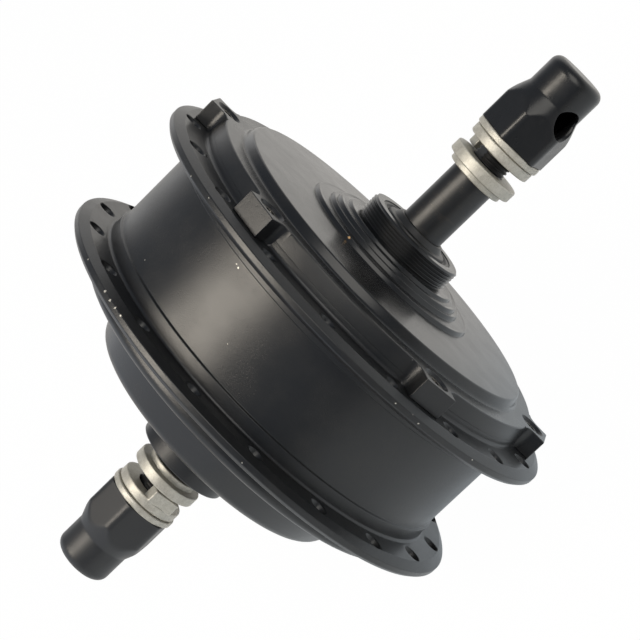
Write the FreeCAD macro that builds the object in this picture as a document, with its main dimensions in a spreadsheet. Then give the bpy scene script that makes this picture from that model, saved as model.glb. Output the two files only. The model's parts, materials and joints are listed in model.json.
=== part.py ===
import FreeCAD, Part
import math
import os

import Sketcher

# Geared rear hub motor for a screw-on freewheel. The axle lies along Y with the freewheel side at +Y,
# +Z is up, and the origin is on the axle midway between the two dropout faces. Lengths are in mm.

SIZES = {
    # Axle and what the frame clamps
    "over_locknut": 142.0,
    "shaft_radius": 7.5,
    "axle_thread_radius": 6.0,
    "axle_flats": 10.0,
    "axle_stub": 2.5,
    "cable_bore_radius": 3.2,
    "cable_window_from_hub": 11.0,
    "stator_collar_radius": 9.6,
    "stator_collar_width": 2.5,
    "bearing_collar_radius": 9.2,
    "bearing_collar_width": 2.5,
    "washer_radius": 11.8,
    "washer_thickness": 3.5,
    "washer_step_radius": 9.8,
    "washer_step": 2.3,
    "washer_chamfer": 0.3,
    "dropout_gap": 4.4,
    "tab_washer_radius": 11.4,
    "tab_washer_thickness": 3.3,
    "tab_washer_chamfer": 0.4,
    "tab_length": 4.0,
    "tab_reach": 11.2,
    "tab_play": 0.2,
    "nut_flange_radius": 12.0,
    "nut_flange": 2.3,
    "nut_flange_chamfer": 0.5,
    "nut_across_flats": 19.0,
    "nut_body": 9.5,
    # Nut covers
    "cover_across_flats": 22.4,
    "cover_length": 29.0,
    "cover_hex_length": 10.6,
    "cover_taper": 6.8,
    "cover_nose_radius": 9.8,
    "cover_nose_round": 3.0,
    "cover_neck_round": 5.0,
    "cover_wall": 2.0,
    "cover_play": 0.15,
    "cable_hole_radius": 4.2,
    "cable_hole_from_end": 13.6,
    "cable_hole_angle": 110.0,
    "drive_cover_turn": 45.5,
    "left_cover_turn": 54.5,
    # Hub shell, each radius given by its distance from the one outside it
    "flange_radius": 78.2,
    "flange_thickness": 4.7,
    "flange_chamfer": 0.9,
    "flange_root_round": 2.2,
    "flange_height": 11.1,
    "ring_width": 4.9,
    "ring_height": 0.7,
    "shell_wall": 4.9,
    "drive_flange_face": 18.0,
    "left_flange_face": -28.1,
    "shoulder_inset": 0.9,
    "shoulder_width": 7.9,
    "shoulder_round": 1.8,
    "end_wall": 3.5,
    "step_inset": 18.2,
    "step_width": 12.0,
    "step_draft": 1.0,
    "step_round": 3.0,
    "boss_radius": 16.1,
    "boss_flare": 1.2,
    "boss_length": 14.4,
    "spoke_margin": 6.2,
    "spoke_hole_radius": 1.5,
    "spoke_sink_radius": 2.7,
    "spoke_count": 18,
    # Drive cover, from its wall inwards and from the flange outwards
    "cover_wall_inset": 1.1,
    "cover_wall_draft": 0.6,
    "cover_wall_height": 7.5,
    "cover_foot": 0.4,
    "cover_foot_height": 1.4,
    "cover_edge_round": 0.8,
    "plateau_inset": 9.0,
    "plateau_wall_lean": 1.3,
    "plateau_foot_round": 1.0,
    "plateau_height": 3.3,
    "cover_plate": 3.0,
    "cover_side_wall": 4.0,
    "spigot_wall": 3.4,
    "spigot_play": 0.05,
    "terrace_radius_1": 31.6,
    "terrace_radius_2": 26.8,
    "terrace_radius_3": 24.8,
    "terrace_radius_4": 21.4,
    "plateau_rise": 1.1,
    "terrace_height": 2.5,
    "terrace_slope": 0.15,
    "freewheel_thread_radius": 17.4,
    "freewheel_relief": 0.9,
    "freewheel_relief_width": 1.2,
    "freewheel_thread_length": 7.6,
    "freewheel_lead": 0.6,
    "lug_overhang": 6.3,
    "lug_width": 12.0,
    "lug_foot_width": 19.0,
    "lug_foot": 3.0,
    "lug_count": 6,
    "screw_from_lug_end": 5.8,
    "screw_radius": 2.0,
    "screw_head_radius": 3.75,
    "screw_key_radius": 1.45,
    "screw_length": 11.2,
    "screw_recess": 0.75,
    "screw_seat_play": 0.05,
    "screw_clearance": 0.15,
    # Hub bearings and seals
    "hub_bearing_height": 6.5,
    "hub_bearing_width": 7.0,
    "hub_bearing_lip": 2.0,
    "race_share": 0.3,
    "track_share": 0.45,
    "hub_ball_count": 11,
    "ball_play": 0.04,
    "seal_width": 2.4,
    "seal_recess": 0.3,
    "seal_gap": 0.2,
    "seal_rim": 1.2,
    "seal_groove": 0.8,
    "seal_collar": 2.4,
    "running_gap": 0.06,
    # Motor
    "rotor_clearance": 1.5,
    "rotor_wall": 3.5,
    "magnet_thickness": 2.5,
    "magnet_count": 20,
    "magnet_angle": 15.0,
    "air_gap": 0.7,
    "yoke_share": 0.64,
    "stator_bore_share": 0.45,
    "tooth_share": 0.13,
    "shoe_share": 0.28,
    "coil_share": 0.04,
    "tooth_count": 18,
    "tooth_shoe": 2.6,
    "tooth_flat": 0.6,
    "stator_end_gap": 4.5,
    "stator_web_gap": 6.0,
    "coil_overhang": 2.4,
    "coil_play": 0.15,
    "coil_foot_gap": 3.0,
    "coil_shoe_gap": 1.0,
    "insulator": 0.8,
    "hub_inset": 2.0,
    "hub_sleeve_wall": 5.0,
    "hub_rim_wall": 3.0,
    "spoke_web": 5.0,
    "board_thickness": 1.6,
    "sensor_height": 1.5,
    "sensor_inset": 4.0,
    "sensor_depth": 3.0,
    "board_angle": 100.0,
    "sensor_angle": 6.0,
    "rotor_end_gap": 2.0,
    "rotor_web": 3.0,
    "rotor_web_offset": 2.0,
    "rotor_window_radius": 7.0,
    "rotor_window_count": 6,
    "rotor_sleeve_wall": 3.0,
    "magnet_end_gap": 1.0,
    "magnet_web_gap": 0.5,
    "rotor_bearing_height": 4.5,
    "rotor_bearing_width": 5.0,
    "rotor_bearing_rib": 1.6,
    "rotor_rib_height": 1.0,
    "rotor_to_gear": 3.5,
    "rotor_ball_count": 11,
    "circlip": 1.2,
    "circlip_height": 1.4,
    "circlip_opening": 3.0,
    "key_width": 3.0,
    "key_height": 3.0,
    # Gears
    "ring_gear_wall": 7.875,
    "sun_teeth": 15,
    "planet_teeth": 27,
    "planet_count": 3,
    "gear_inset": 2.0,
    "gear_face": 10.0,
    "gear_side_gap": 0.5,
    "gear_backlash": 0.12,
    "sun_bore_play": 0.3,
    "sun_spigot_play": 0.4,
    "planet_pin_radius": 4.0,
    "planet_bush_wall": 2.2,
    "pin_clip": 1.2,
    "pin_clip_height": 1.6,
    # Clutch and planet carrier
    "carrier_gap": 0.7,
    "carrier_disc": 3.0,
    "carrier_lobe_radius": 7.0,
    "carrier_inset": 0.3,
    "clutch_width": 9.0,
    "clutch_inner_radius": 12.5,
    "clutch_outer_radius": 22.0,
    "clutch_race_gap": 2.3,
    "roller_radius": 1.6,
    "roller_count": 8,
    "roller_play": 0.03,
    "roller_start_gap": 0.4,
    "roller_end_gap": 1.0,
    "pocket_grip_play": 0.05,
    "pocket_rise": 0.8,
    "pocket_side_play": 0.15,
    "pocket_run": 2.2,
    "pocket_depth": 0.5,
    "spring_gap": 0.1,
    "spring_length": 1.9,
    "spring_height": 1.2,
    "spring_inset": 2.0,
    "thrust_washer": 0.7,
    "thrust_washer_height": 3.5,
    "bearing_sleeve_wall": 1.8,
}


class Size:
    """A length with its value and the sheet formula that gives it."""

    def __init__(self, value, formula):
        self.value = float(value)
        self.formula = formula

    def __add__(self, other):
        other = as_size(other)
        return Size(self.value + other.value, f"({self.formula} + {other.formula})")

    def __sub__(self, other):
        other = as_size(other)
        return Size(self.value - other.value, f"({self.formula} - {other.formula})")

    def __mul__(self, other):
        other = as_size(other)
        return Size(self.value * other.value, f"({self.formula} * {other.formula})")

    def __truediv__(self, other):
        other = as_size(other)
        return Size(self.value / other.value, f"({self.formula} / {other.formula})")

    def __neg__(self):
        return Size(-self.value, f"(0 - {self.formula})")

    def __radd__(self, other):
        return as_size(other) + self

    def __rsub__(self, other):
        return as_size(other) - self

    def __rmul__(self, other):
        return as_size(other) * self


def as_size(number):
    if isinstance(number, Size):
        return number
    return Size(number, f"({number:.9f})")


class Sizes:
    """The driving dimensions, each also a named cell of the sheet."""

    def __init__(self, sheet):
        for row, (name, value) in enumerate(SIZES.items(), start=1):
            sheet.set(f"A{row}", name)
            sheet.set(f"B{row}", str(value))
            sheet.setAlias(f"B{row}", name)
            setattr(self, name, Size(value, f"Dimensions.{name}"))


doc = FreeCAD.newDocument("hub_motor")
sheet = doc.addObject("Spreadsheet::Sheet", "Dimensions")
s = Sizes(sheet)
doc.recompute()

SUBPARTS = []
ROUND_HEX = 1 / math.cos(math.radians(30))


# Drawing helpers

def bind(thing, prop, size):
    thing.setExpression(prop, as_size(size).formula)


def new_body(label):
    body = doc.addObject("PartDesign::Body", label)
    body.Label = label
    SUBPARTS.append(body)
    return body


def origin_part(body, role):
    for feature in body.Origin.OriginFeatures:
        if feature.Role == role:
            return feature
    raise ValueError(f"no origin feature {role}")


def sketch(body, name, loops, role="XY_Plane", height=None):
    """A sketch of closed straight-sided loops, with every corner bound to the sheet."""
    drawing = body.newObject("Sketcher::SketchObject", name)
    drawing.AttachmentSupport = (origin_part(body, role), [""])
    drawing.MapMode = "FlatFace"
    if height is not None:
        bind(drawing, "AttachmentOffset.Base.z", height)
    first = 0
    for loop in loops:
        corners = [(as_size(across), as_size(up)) for across, up in loop]
        points = [FreeCAD.Vector(across.value, up.value, 0) for across, up in corners]
        count = len(points)
        lines = [Part.LineSegment(points[i], points[(i + 1) % count]) for i in range(count)]
        drawing.addGeometry(lines, False)
        for i in range(count):
            after = first + (i + 1) % count
            drawing.addConstraint(Sketcher.Constraint("Coincident", first + i, 2, after, 1))
        for i, (across, up) in enumerate(corners):
            place_corner(drawing, first + i, "DistanceX", -2, across)
            place_corner(drawing, first + i, "DistanceY", -1, up)
        first += count
    return drawing


def place_corner(drawing, line, kind, axis, size):
    if size.value == 0:
        drawing.addConstraint(Sketcher.Constraint("PointOnObject", line, 1, axis))
        return
    index = drawing.addConstraint(Sketcher.Constraint(kind, -1, 1, line, 1, size.value))
    drawing.setExpression(f"Constraints[{index}]", size.formula)


def circle_sketch(body, name, centre, radius, role="XZ_Plane", height=None):
    drawing = body.newObject("Sketcher::SketchObject", name)
    drawing.AttachmentSupport = (origin_part(body, role), [""])
    drawing.MapMode = "FlatFace"
    if height is not None:
        bind(drawing, "AttachmentOffset.Base.z", height)
    across, up = as_size(centre[0]), as_size(centre[1])
    middle = FreeCAD.Vector(across.value, up.value, 0)
    radius = as_size(radius)
    drawing.addGeometry(Part.Circle(middle, FreeCAD.Vector(0, 0, 1), radius.value), False)
    index = drawing.addConstraint(Sketcher.Constraint("Radius", 0, radius.value))
    drawing.setExpression(f"Constraints[{index}]", radius.formula)
    for kind, axis, size in (("DistanceX", -2, across), ("DistanceY", -1, up)):
        if size.value == 0:
            drawing.addConstraint(Sketcher.Constraint("PointOnObject", 0, 3, axis))
        else:
            index = drawing.addConstraint(Sketcher.Constraint(kind, -1, 1, 0, 3, size.value))
            drawing.setExpression(f"Constraints[{index}]", size.formula)
    return drawing


def turn(body, name, loops, cut=False, angle=None, centre=None):
    """Turn a radius-and-Y outline about the axle line, or about a parallel line through an X, Z centre."""
    drawing = sketch(body, f"{name}_outline", loops)
    if centre is not None:
        bind(drawing, "AttachmentOffset.Base.x", centre[0])
        bind(drawing, "AttachmentOffset.Base.z", centre[1])
    kind = "PartDesign::Groove" if cut else "PartDesign::Revolution"
    feature = body.newObject(kind, name)
    feature.Profile = drawing
    feature.ReferenceAxis = (drawing, ["V_Axis"])
    feature.Angle = 360
    if angle is not None:
        feature.Midplane = True
        bind(feature, "Angle", angle)
    body.Tip = feature
    return feature


def along_axle(body, name, drawing, start, length, cut=False):
    """Pad or cut a sketch on the XZ plane from start towards +Y."""
    bind(drawing, "AttachmentOffset.Base.z", -as_size(start))
    feature = body.newObject("PartDesign::Pocket" if cut else "PartDesign::Pad", name)
    feature.Profile = drawing
    feature.Reversed = not cut
    bind(feature, "Length", length)
    body.Tip = feature
    return feature


def ring_of(body, name, originals, count):
    """Repeat features evenly round the axle line."""
    pattern = body.newObject("PartDesign::PolarPattern", name)
    pattern.Originals = originals
    pattern.Axis = (origin_part(body, "Y_Axis"), [""])
    pattern.Angle = 360
    bind(pattern, "Occurrences", count)
    body.Tip = pattern
    return pattern


def circular_edges(shape, places):
    """Names of the full-circle edges about the axle line at the given radius and Y."""
    found = []
    for number, edge in enumerate(shape.Edges, start=1):
        if not isinstance(edge.Curve, Part.Circle):
            continue
        for radius, along in places:
            close = abs(edge.Curve.Radius - as_size(radius).value) < 0.02
            level = abs(edge.Curve.Center.y - as_size(along).value) < 0.02
            if close and level and abs(edge.Curve.Axis.y) > 0.999:
                found.append(f"Edge{number}")
    if not found:
        raise ValueError(f"no edge at {[(as_size(r).value, as_size(y).value) for r, y in places]}")
    return found


def soften(body, kind, name, places, amount):
    """Round or chamfer circular edges of the body so far."""
    doc.recompute()
    base = body.Tip
    names = circular_edges(base.Shape, places)
    feature = body.newObject(f"PartDesign::{kind}", name)
    feature.Base = (base, names)
    bind(feature, "Radius" if kind == "Fillet" else "Size", amount)
    body.Tip = feature
    return feature


def box_loop(low_x, low_y, high_x, high_y):
    return [(low_x, low_y), (high_x, low_y), (high_x, high_y), (low_x, high_y)]


def polygon_loop(radius, sides, first_angle):
    corners = []
    for step in range(sides):
        angle = math.radians(first_angle + 360 * step / sides)
        corners.append((as_size(radius) * math.sin(angle), as_size(radius) * math.cos(angle)))
    return corners


def simple_ring(label, inner, outer, start, end):
    body = new_body(label)
    turn(body, f"{label}_turned", [box_loop(inner, start, outer, end)])
    return body


def fixed_shape(label, shape):
    """A sub-part whose outline comes from a formula and not from a sketch."""
    feature = doc.addObject("Part::Feature", label)
    feature.Label = label
    feature.Shape = shape
    SUBPARTS.append(feature)
    return feature


AXLE_LINE = FreeCAD.Vector(0, 1, 0)
ORIGIN = FreeCAD.Vector(0, 0, 0)


def round_axle(shape, degrees):
    copy = shape.copy()
    copy.rotate(ORIGIN, AXLE_LINE, degrees)
    return copy


def copies_round_axle(shape, count, first=0.0):
    return Part.makeCompound([round_axle(shape, first + 360.0 * i / count) for i in range(int(count))])


# Radii, from the flange inwards

ring_radius = s.flange_radius - s.flange_height
drum_radius = ring_radius - s.ring_height
shell_bore_radius = drum_radius - s.shell_wall
shoulder_radius = ring_radius - s.shoulder_inset
step_radius = shoulder_radius - s.step_inset
spoke_circle_radius = s.flange_radius - s.spoke_margin
cover_wall_radius = ring_radius - s.cover_wall_inset
plateau_radius = cover_wall_radius - s.plateau_inset
cover_inner_radius = plateau_radius - s.cover_side_wall
lug_reach = cover_wall_radius + s.lug_overhang
screw_circle_radius = lug_reach - s.screw_from_lug_end
rotor_radius = shell_bore_radius - s.rotor_clearance
magnet_outer = rotor_radius - s.rotor_wall
magnet_inner = magnet_outer - s.magnet_thickness
stator_radius = magnet_inner - s.air_gap
stator_yoke_radius = stator_radius * s.yoke_share
stator_bore_radius = stator_radius * s.stator_bore_share
tooth_width = stator_radius * s.tooth_share
tooth_shoe_width = stator_radius * s.shoe_share
coil_thickness = stator_radius * s.coil_share
hub_bearing_radius = s.shaft_radius + s.hub_bearing_height
rotor_bearing_radius = s.shaft_radius + s.rotor_bearing_height
sleeve_radius = rotor_bearing_radius + s.rotor_sleeve_wall
key_slot_bottom = s.shaft_radius - s.key_height / 2
bearing_lip = hub_bearing_radius - s.hub_bearing_lip

# Gears: tooth height is 1 module above the pitch circle and 1.25 below it

TOOTH_ROOT = 1.25
ring_teeth = s.sun_teeth + 2 * s.planet_teeth
gear_module = 2 * (shell_bore_radius - s.ring_gear_wall) / (ring_teeth + 2 * TOOTH_ROOT)
planet_circle = gear_module * (s.sun_teeth + s.planet_teeth) / 2

# Places along the axle

half_span = s.over_locknut / 2
washer_back = half_span - s.washer_thickness
shoulder = washer_back - s.washer_step
tab_face = half_span + s.dropout_gap
nut_face = tab_face + s.tab_washer_thickness
nut_flange_end = nut_face + s.nut_flange
nut_end = nut_flange_end + s.nut_body
nut_cover_end = nut_flange_end + s.cover_length
axle_end = nut_end + s.axle_stub
left_flange_inner = s.left_flange_face + s.flange_thickness
drive_flange_inner = s.drive_flange_face - s.flange_thickness
shoulder_end = s.left_flange_face - s.shoulder_width
step_end = shoulder_end - s.step_width
boss_end = step_end - s.boss_length
left_bearing_start = boss_end + s.seal_recess + s.seal_width + s.seal_gap
left_bearing_end = left_bearing_start + s.hub_bearing_width
cover_rim_face = s.drive_flange_face + s.cover_wall_height
plateau_face = cover_rim_face + s.plateau_height
cover_inner_face = plateau_face - s.cover_plate
terrace_start = plateau_face + s.plateau_rise
terrace_end = terrace_start + s.terrace_height
freewheel_thread_start = terrace_end + s.freewheel_relief_width
drive_boss_end = freewheel_thread_start + s.freewheel_thread_length
drive_bearing_end = drive_boss_end - s.seal_recess - s.seal_width
drive_bearing_start = drive_bearing_end - s.hub_bearing_width
gear_end = s.drive_flange_face - s.gear_inset
gear_start = gear_end - s.gear_face
carrier_start = gear_end + s.carrier_gap
clutch_start = carrier_start + s.carrier_inset
clutch_end = clutch_start + s.clutch_width
second_rotor_bearing_end = gear_start - s.rotor_to_gear
second_rotor_bearing = second_rotor_bearing_end - s.rotor_bearing_width
first_rotor_bearing_end = second_rotor_bearing - s.rotor_bearing_rib
rotor_bearing_start = first_rotor_bearing_end - s.rotor_bearing_width
rotor_web_start = second_rotor_bearing - s.rotor_web_offset
rotor_web_end = rotor_web_start + s.rotor_web
rotor_left_end = shoulder_end + s.end_wall + s.rotor_end_gap
stator_left_end = shoulder_end + s.end_wall + s.stator_end_gap
stator_right_end = rotor_web_start - s.stator_web_gap
stator_middle = (stator_left_end + stator_right_end) / 2
stator_hub_start = stator_left_end + s.hub_inset
stator_hub_end = rotor_bearing_start - s.circlip
cable_bore_end = stator_hub_start - s.cable_window_from_hub


# Axle

def build_axle():
    body = new_body("axle")
    turned = [
        (0, -axle_end),
        (s.axle_thread_radius, -axle_end),
        (s.axle_thread_radius, -shoulder),
        (s.shaft_radius, -shoulder),
        (s.shaft_radius, left_bearing_end),
        (s.bearing_collar_radius, left_bearing_end),
        (s.bearing_collar_radius, left_bearing_end + s.bearing_collar_width),
        (s.shaft_radius, left_bearing_end + s.bearing_collar_width),
        (s.shaft_radius, stator_hub_start - s.stator_collar_width),
        (s.stator_collar_radius, stator_hub_start - s.stator_collar_width),
        (s.stator_collar_radius, stator_hub_start),
        (s.shaft_radius, stator_hub_start),
        (s.shaft_radius, shoulder),
        (s.axle_thread_radius, shoulder),
        (s.axle_thread_radius, axle_end),
        (0, axle_end),
    ]
    turn(body, "axle_turned", [turned])
    for side, start in (("left", -axle_end), ("drive", shoulder)):
        flats = sketch(body, f"{side}_flats", [
            box_loop(-s.shaft_radius, s.axle_flats / 2, s.shaft_radius, s.shaft_radius),
            box_loop(-s.shaft_radius, -s.shaft_radius, s.shaft_radius, -s.axle_flats / 2),
        ], role="XZ_Plane")
        along_axle(body, f"{side}_flats_cut", flats, start, axle_end - shoulder, cut=True)
    bore = circle_sketch(body, "cable_bore_circle", (0, 0), s.cable_bore_radius)
    along_axle(body, "cable_bore", bore, cable_bore_end, axle_end - cable_bore_end, cut=True)
    window = sketch(body, "cable_window_outline", [
        box_loop(0, cable_bore_end, s.shaft_radius + 1, cable_bore_end + 2 * s.cable_bore_radius),
    ])
    mouth = body.newObject("PartDesign::Pocket", "cable_window")
    mouth.Profile = window
    mouth.Midplane = True
    bind(mouth, "Length", 1.5 * s.cable_bore_radius)
    body.Tip = mouth
    for name, start, end in (
        ("stator_keyway", stator_hub_start, stator_hub_end),
        ("clutch_keyway", clutch_start, clutch_end),
    ):
        slot = sketch(body, f"{name}_outline", [
            box_loop(-s.key_width / 2, -s.shaft_radius - 1, s.key_width / 2, -key_slot_bottom),
        ], role="XZ_Plane")
        along_axle(body, name, slot, start, end - start, cut=True)


def build_key(label, start, end):
    body = new_body(label)
    section = sketch(body, f"{label}_section", [
        box_loop(-s.key_width / 2, -key_slot_bottom - s.key_height, s.key_width / 2, -key_slot_bottom),
    ], role="XZ_Plane")
    along_axle(body, f"{label}_bar", section, start, end - start)


# Washers, nuts and nut covers, built towards +Y and mirrored for the left end

def sided(side, near, far):
    """Start and end along Y of something that lies between near and far from the middle."""
    return (near, far) if side > 0 else (-far, -near)


def build_spacer_washer(label, side):
    body = new_body(label)
    bore = s.axle_thread_radius + s.running_gap
    outline = [
        (bore, side * shoulder),
        (s.washer_step_radius, side * shoulder),
        (s.washer_step_radius, side * washer_back),
        (s.washer_radius, side * washer_back),
        (s.washer_radius, side * half_span),
        (bore, side * half_span),
    ]
    turn(body, f"{label}_turned", [outline])
    rim = [(s.washer_radius, side * half_span)]
    soften(body, "Chamfer", f"{label}_edges", rim, s.washer_chamfer)


def build_tab_washer(label, side, tab_side):
    """A washer keyed on the axle flats, with a tab that drops into the frame's slot."""
    body = new_body(label)
    bore = s.axle_thread_radius + s.running_gap
    start, end = sided(side, tab_face, nut_face)
    turn(body, f"{label}_turned", [box_loop(bore, start, s.tab_washer_radius, end)])
    rim = [(s.tab_washer_radius, side * nut_face)]
    soften(body, "Chamfer", f"{label}_edges", rim, s.tab_washer_chamfer)
    half_slot = s.axle_flats / 2 + s.running_gap
    fills = sketch(body, f"{label}_key_faces", [
        box_loop(-bore, half_slot, bore, bore + 1),
        box_loop(-bore, -bore - 1, bore, -half_slot),
    ], role="XZ_Plane")
    along_axle(body, f"{label}_keys", fills, start, s.tab_washer_thickness)
    near, far = s.axle_thread_radius + 2 * s.tab_play, s.tab_reach
    low, high = (near, far) if tab_side > 0 else (-far, -near)
    tab = sketch(body, f"{label}_tab_outline", [
        box_loop(low, -s.axle_flats / 2 + s.tab_play, high, s.axle_flats / 2 - s.tab_play),
    ], role="XZ_Plane")
    tab_start, _ = sided(side, tab_face - s.tab_length, tab_face)
    along_axle(body, f"{label}_tab", tab, tab_start, s.tab_length)


def build_nut(label, side, first_angle):
    body = new_body(label)
    start, end = sided(side, nut_face, nut_flange_end)
    turn(body, f"{label}_flange", [box_loop(s.axle_thread_radius, start, s.nut_flange_radius, end)])
    rim = [(s.nut_flange_radius, side * nut_flange_end)]
    soften(body, "Chamfer", f"{label}_flange_edge", rim, s.nut_flange_chamfer)
    start, _ = sided(side, nut_flange_end, nut_end)
    corners = polygon_loop(s.nut_across_flats / 2 * ROUND_HEX, 6, first_angle)
    hexagon = sketch(body, f"{label}_hexagon", [corners], role="XZ_Plane")
    along_axle(body, f"{label}_body", hexagon, start, s.nut_body)
    drill = circle_sketch(body, f"{label}_thread_circle", (0, 0), s.axle_thread_radius)
    low, _ = sided(side, nut_face, nut_end)
    along_axle(body, f"{label}_thread", drill, low, nut_end - nut_face, cut=True)


def build_nut_cover(label, side, first_angle, cable_hole):
    """A moulded cover: a hexagon that a taper runs off to a round nose, hollow for nut and cable."""
    body = new_body(label)
    outside = s.cover_across_flats / 2 * ROUND_HEX
    taper_start = nut_flange_end + s.cover_hex_length
    taper_end = taper_start + s.cover_taper
    start, _ = sided(side, nut_flange_end, nut_cover_end)
    hexagon = sketch(body, f"{label}_hexagon", [polygon_loop(outside, 6, first_angle)], role="XZ_Plane")
    along_axle(body, f"{label}_blank", hexagon, start, s.cover_length)
    turn(body, f"{label}_taper", [[
        (outside + s.running_gap, side * taper_start),
        (s.cover_nose_radius, side * taper_end),
        (s.cover_nose_radius, side * (nut_cover_end + 1)),
        (outside + 2, side * (nut_cover_end + 1)),
        (outside + 2, side * taper_start),
    ]], cut=True)
    nose = [(s.cover_nose_radius, side * nut_cover_end)]
    soften(body, "Fillet", f"{label}_nose", nose, s.cover_nose_round)
    neck = [(s.cover_nose_radius, side * taper_end)]
    soften(body, "Fillet", f"{label}_neck", neck, s.cover_neck_round)
    socket_radius = (s.nut_across_flats / 2 + s.cover_play) * ROUND_HEX
    socket = sketch(body, f"{label}_socket_outline", [polygon_loop(socket_radius, 6, first_angle)],
                    role="XZ_Plane")
    socket_end = nut_end + 2 * s.cover_play
    low, _ = sided(side, nut_flange_end, socket_end)
    along_axle(body, f"{label}_socket", socket, low, socket_end - nut_flange_end, cut=True)
    hollow_radius = s.cover_nose_radius - s.cover_wall
    turn(body, f"{label}_hollow", [box_loop(
        0, side * nut_flange_end, hollow_radius, side * (nut_cover_end - s.cover_wall))], cut=True)
    if cable_hole:
        drill = circle_sketch(
            body, f"{label}_cable_circle", (0, side * (nut_cover_end - s.cable_hole_from_end)),
            s.cable_hole_radius, role="XY_Plane")
        drill.AttachmentOffset = FreeCAD.Placement(
            ORIGIN, FreeCAD.Rotation(AXLE_LINE, s.cable_hole_angle.value))
        hole = body.newObject("PartDesign::Pocket", f"{label}_cable_hole")
        hole.Profile = drill
        hole.Reversed = True
        bind(hole, "Length", 2 * s.cover_nose_radius)
        body.Tip = hole


# Hub shell

def build_hub_shell():
    body = new_body("hub_shell")
    bore_floor = shoulder_end + s.end_wall
    step_floor = step_end + s.end_wall
    outline = [
        (hub_bearing_radius, boss_end),
        (s.boss_radius, boss_end),
        (s.boss_radius + s.boss_flare, step_end),
        (step_radius - s.step_draft, step_end),
        (step_radius, shoulder_end),
        (shoulder_radius, shoulder_end),
        (shoulder_radius, s.left_flange_face),
        (s.flange_radius, s.left_flange_face),
        (s.flange_radius, left_flange_inner),
        (ring_radius, left_flange_inner),
        (ring_radius, left_flange_inner + s.ring_width),
        (drum_radius, left_flange_inner + s.ring_width),
        (drum_radius, drive_flange_inner - s.ring_width),
        (ring_radius, drive_flange_inner - s.ring_width),
        (ring_radius, drive_flange_inner),
        (s.flange_radius, drive_flange_inner),
        (s.flange_radius, s.drive_flange_face),
        (shell_bore_radius, s.drive_flange_face),
        (shell_bore_radius, bore_floor),
        (step_radius - s.end_wall, bore_floor),
        (step_radius - s.end_wall - s.step_draft, step_floor),
        (bearing_lip, step_floor),
        (bearing_lip, left_bearing_end),
        (hub_bearing_radius, left_bearing_end),
    ]
    turn(body, "shell_turned", [outline])
    rims = [(s.flange_radius, along) for along in (
        s.left_flange_face, left_flange_inner, drive_flange_inner, s.drive_flange_face)]
    soften(body, "Chamfer", "flange_rims", rims, s.flange_chamfer)
    roots = [(ring_radius, left_flange_inner), (ring_radius, drive_flange_inner)]
    soften(body, "Fillet", "flange_roots", roots, s.flange_root_round)
    soften(body, "Fillet", "shoulder_edge", [(shoulder_radius, shoulder_end)], s.shoulder_round)
    soften(body, "Fillet", "step_edge", [(step_radius - s.step_draft, step_end)], s.step_round)
    for name, face, centre in (
        ("drive", s.drive_flange_face, (0, spoke_circle_radius)),
        ("left", left_flange_inner, (spoke_circle_radius, 0)),
    ):
        start = face - s.flange_thickness - 1
        drill = sunk_hole_loop(s.spoke_hole_radius, s.spoke_sink_radius, start, face)
        hole = turn(body, f"{name}_spoke_hole", [drill], cut=True, centre=centre)
        ring_of(body, f"{name}_spoke_holes", [hole], s.spoke_count)
    depth = s.screw_length - (cover_rim_face - s.drive_flange_face)
    tap = box_loop(0, s.drive_flange_face - depth, s.screw_radius, s.drive_flange_face + 1)
    hole = turn(body, "screw_tap", [tap], cut=True, centre=(screw_circle_radius, 0))
    ring_of(body, "screw_taps", [hole], s.lug_count)


def sunk_hole_loop(radius, mouth, start, face):
    """Half outline of a drilled hole that a cone opens to its mouth on a face towards +Y."""
    return [
        (0, start), (radius, start), (radius, face - (mouth - radius)),
        (mouth, face), (mouth, face + 1), (0, face + 1),
    ]


# Drive-side cover with the freewheel thread boss

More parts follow.
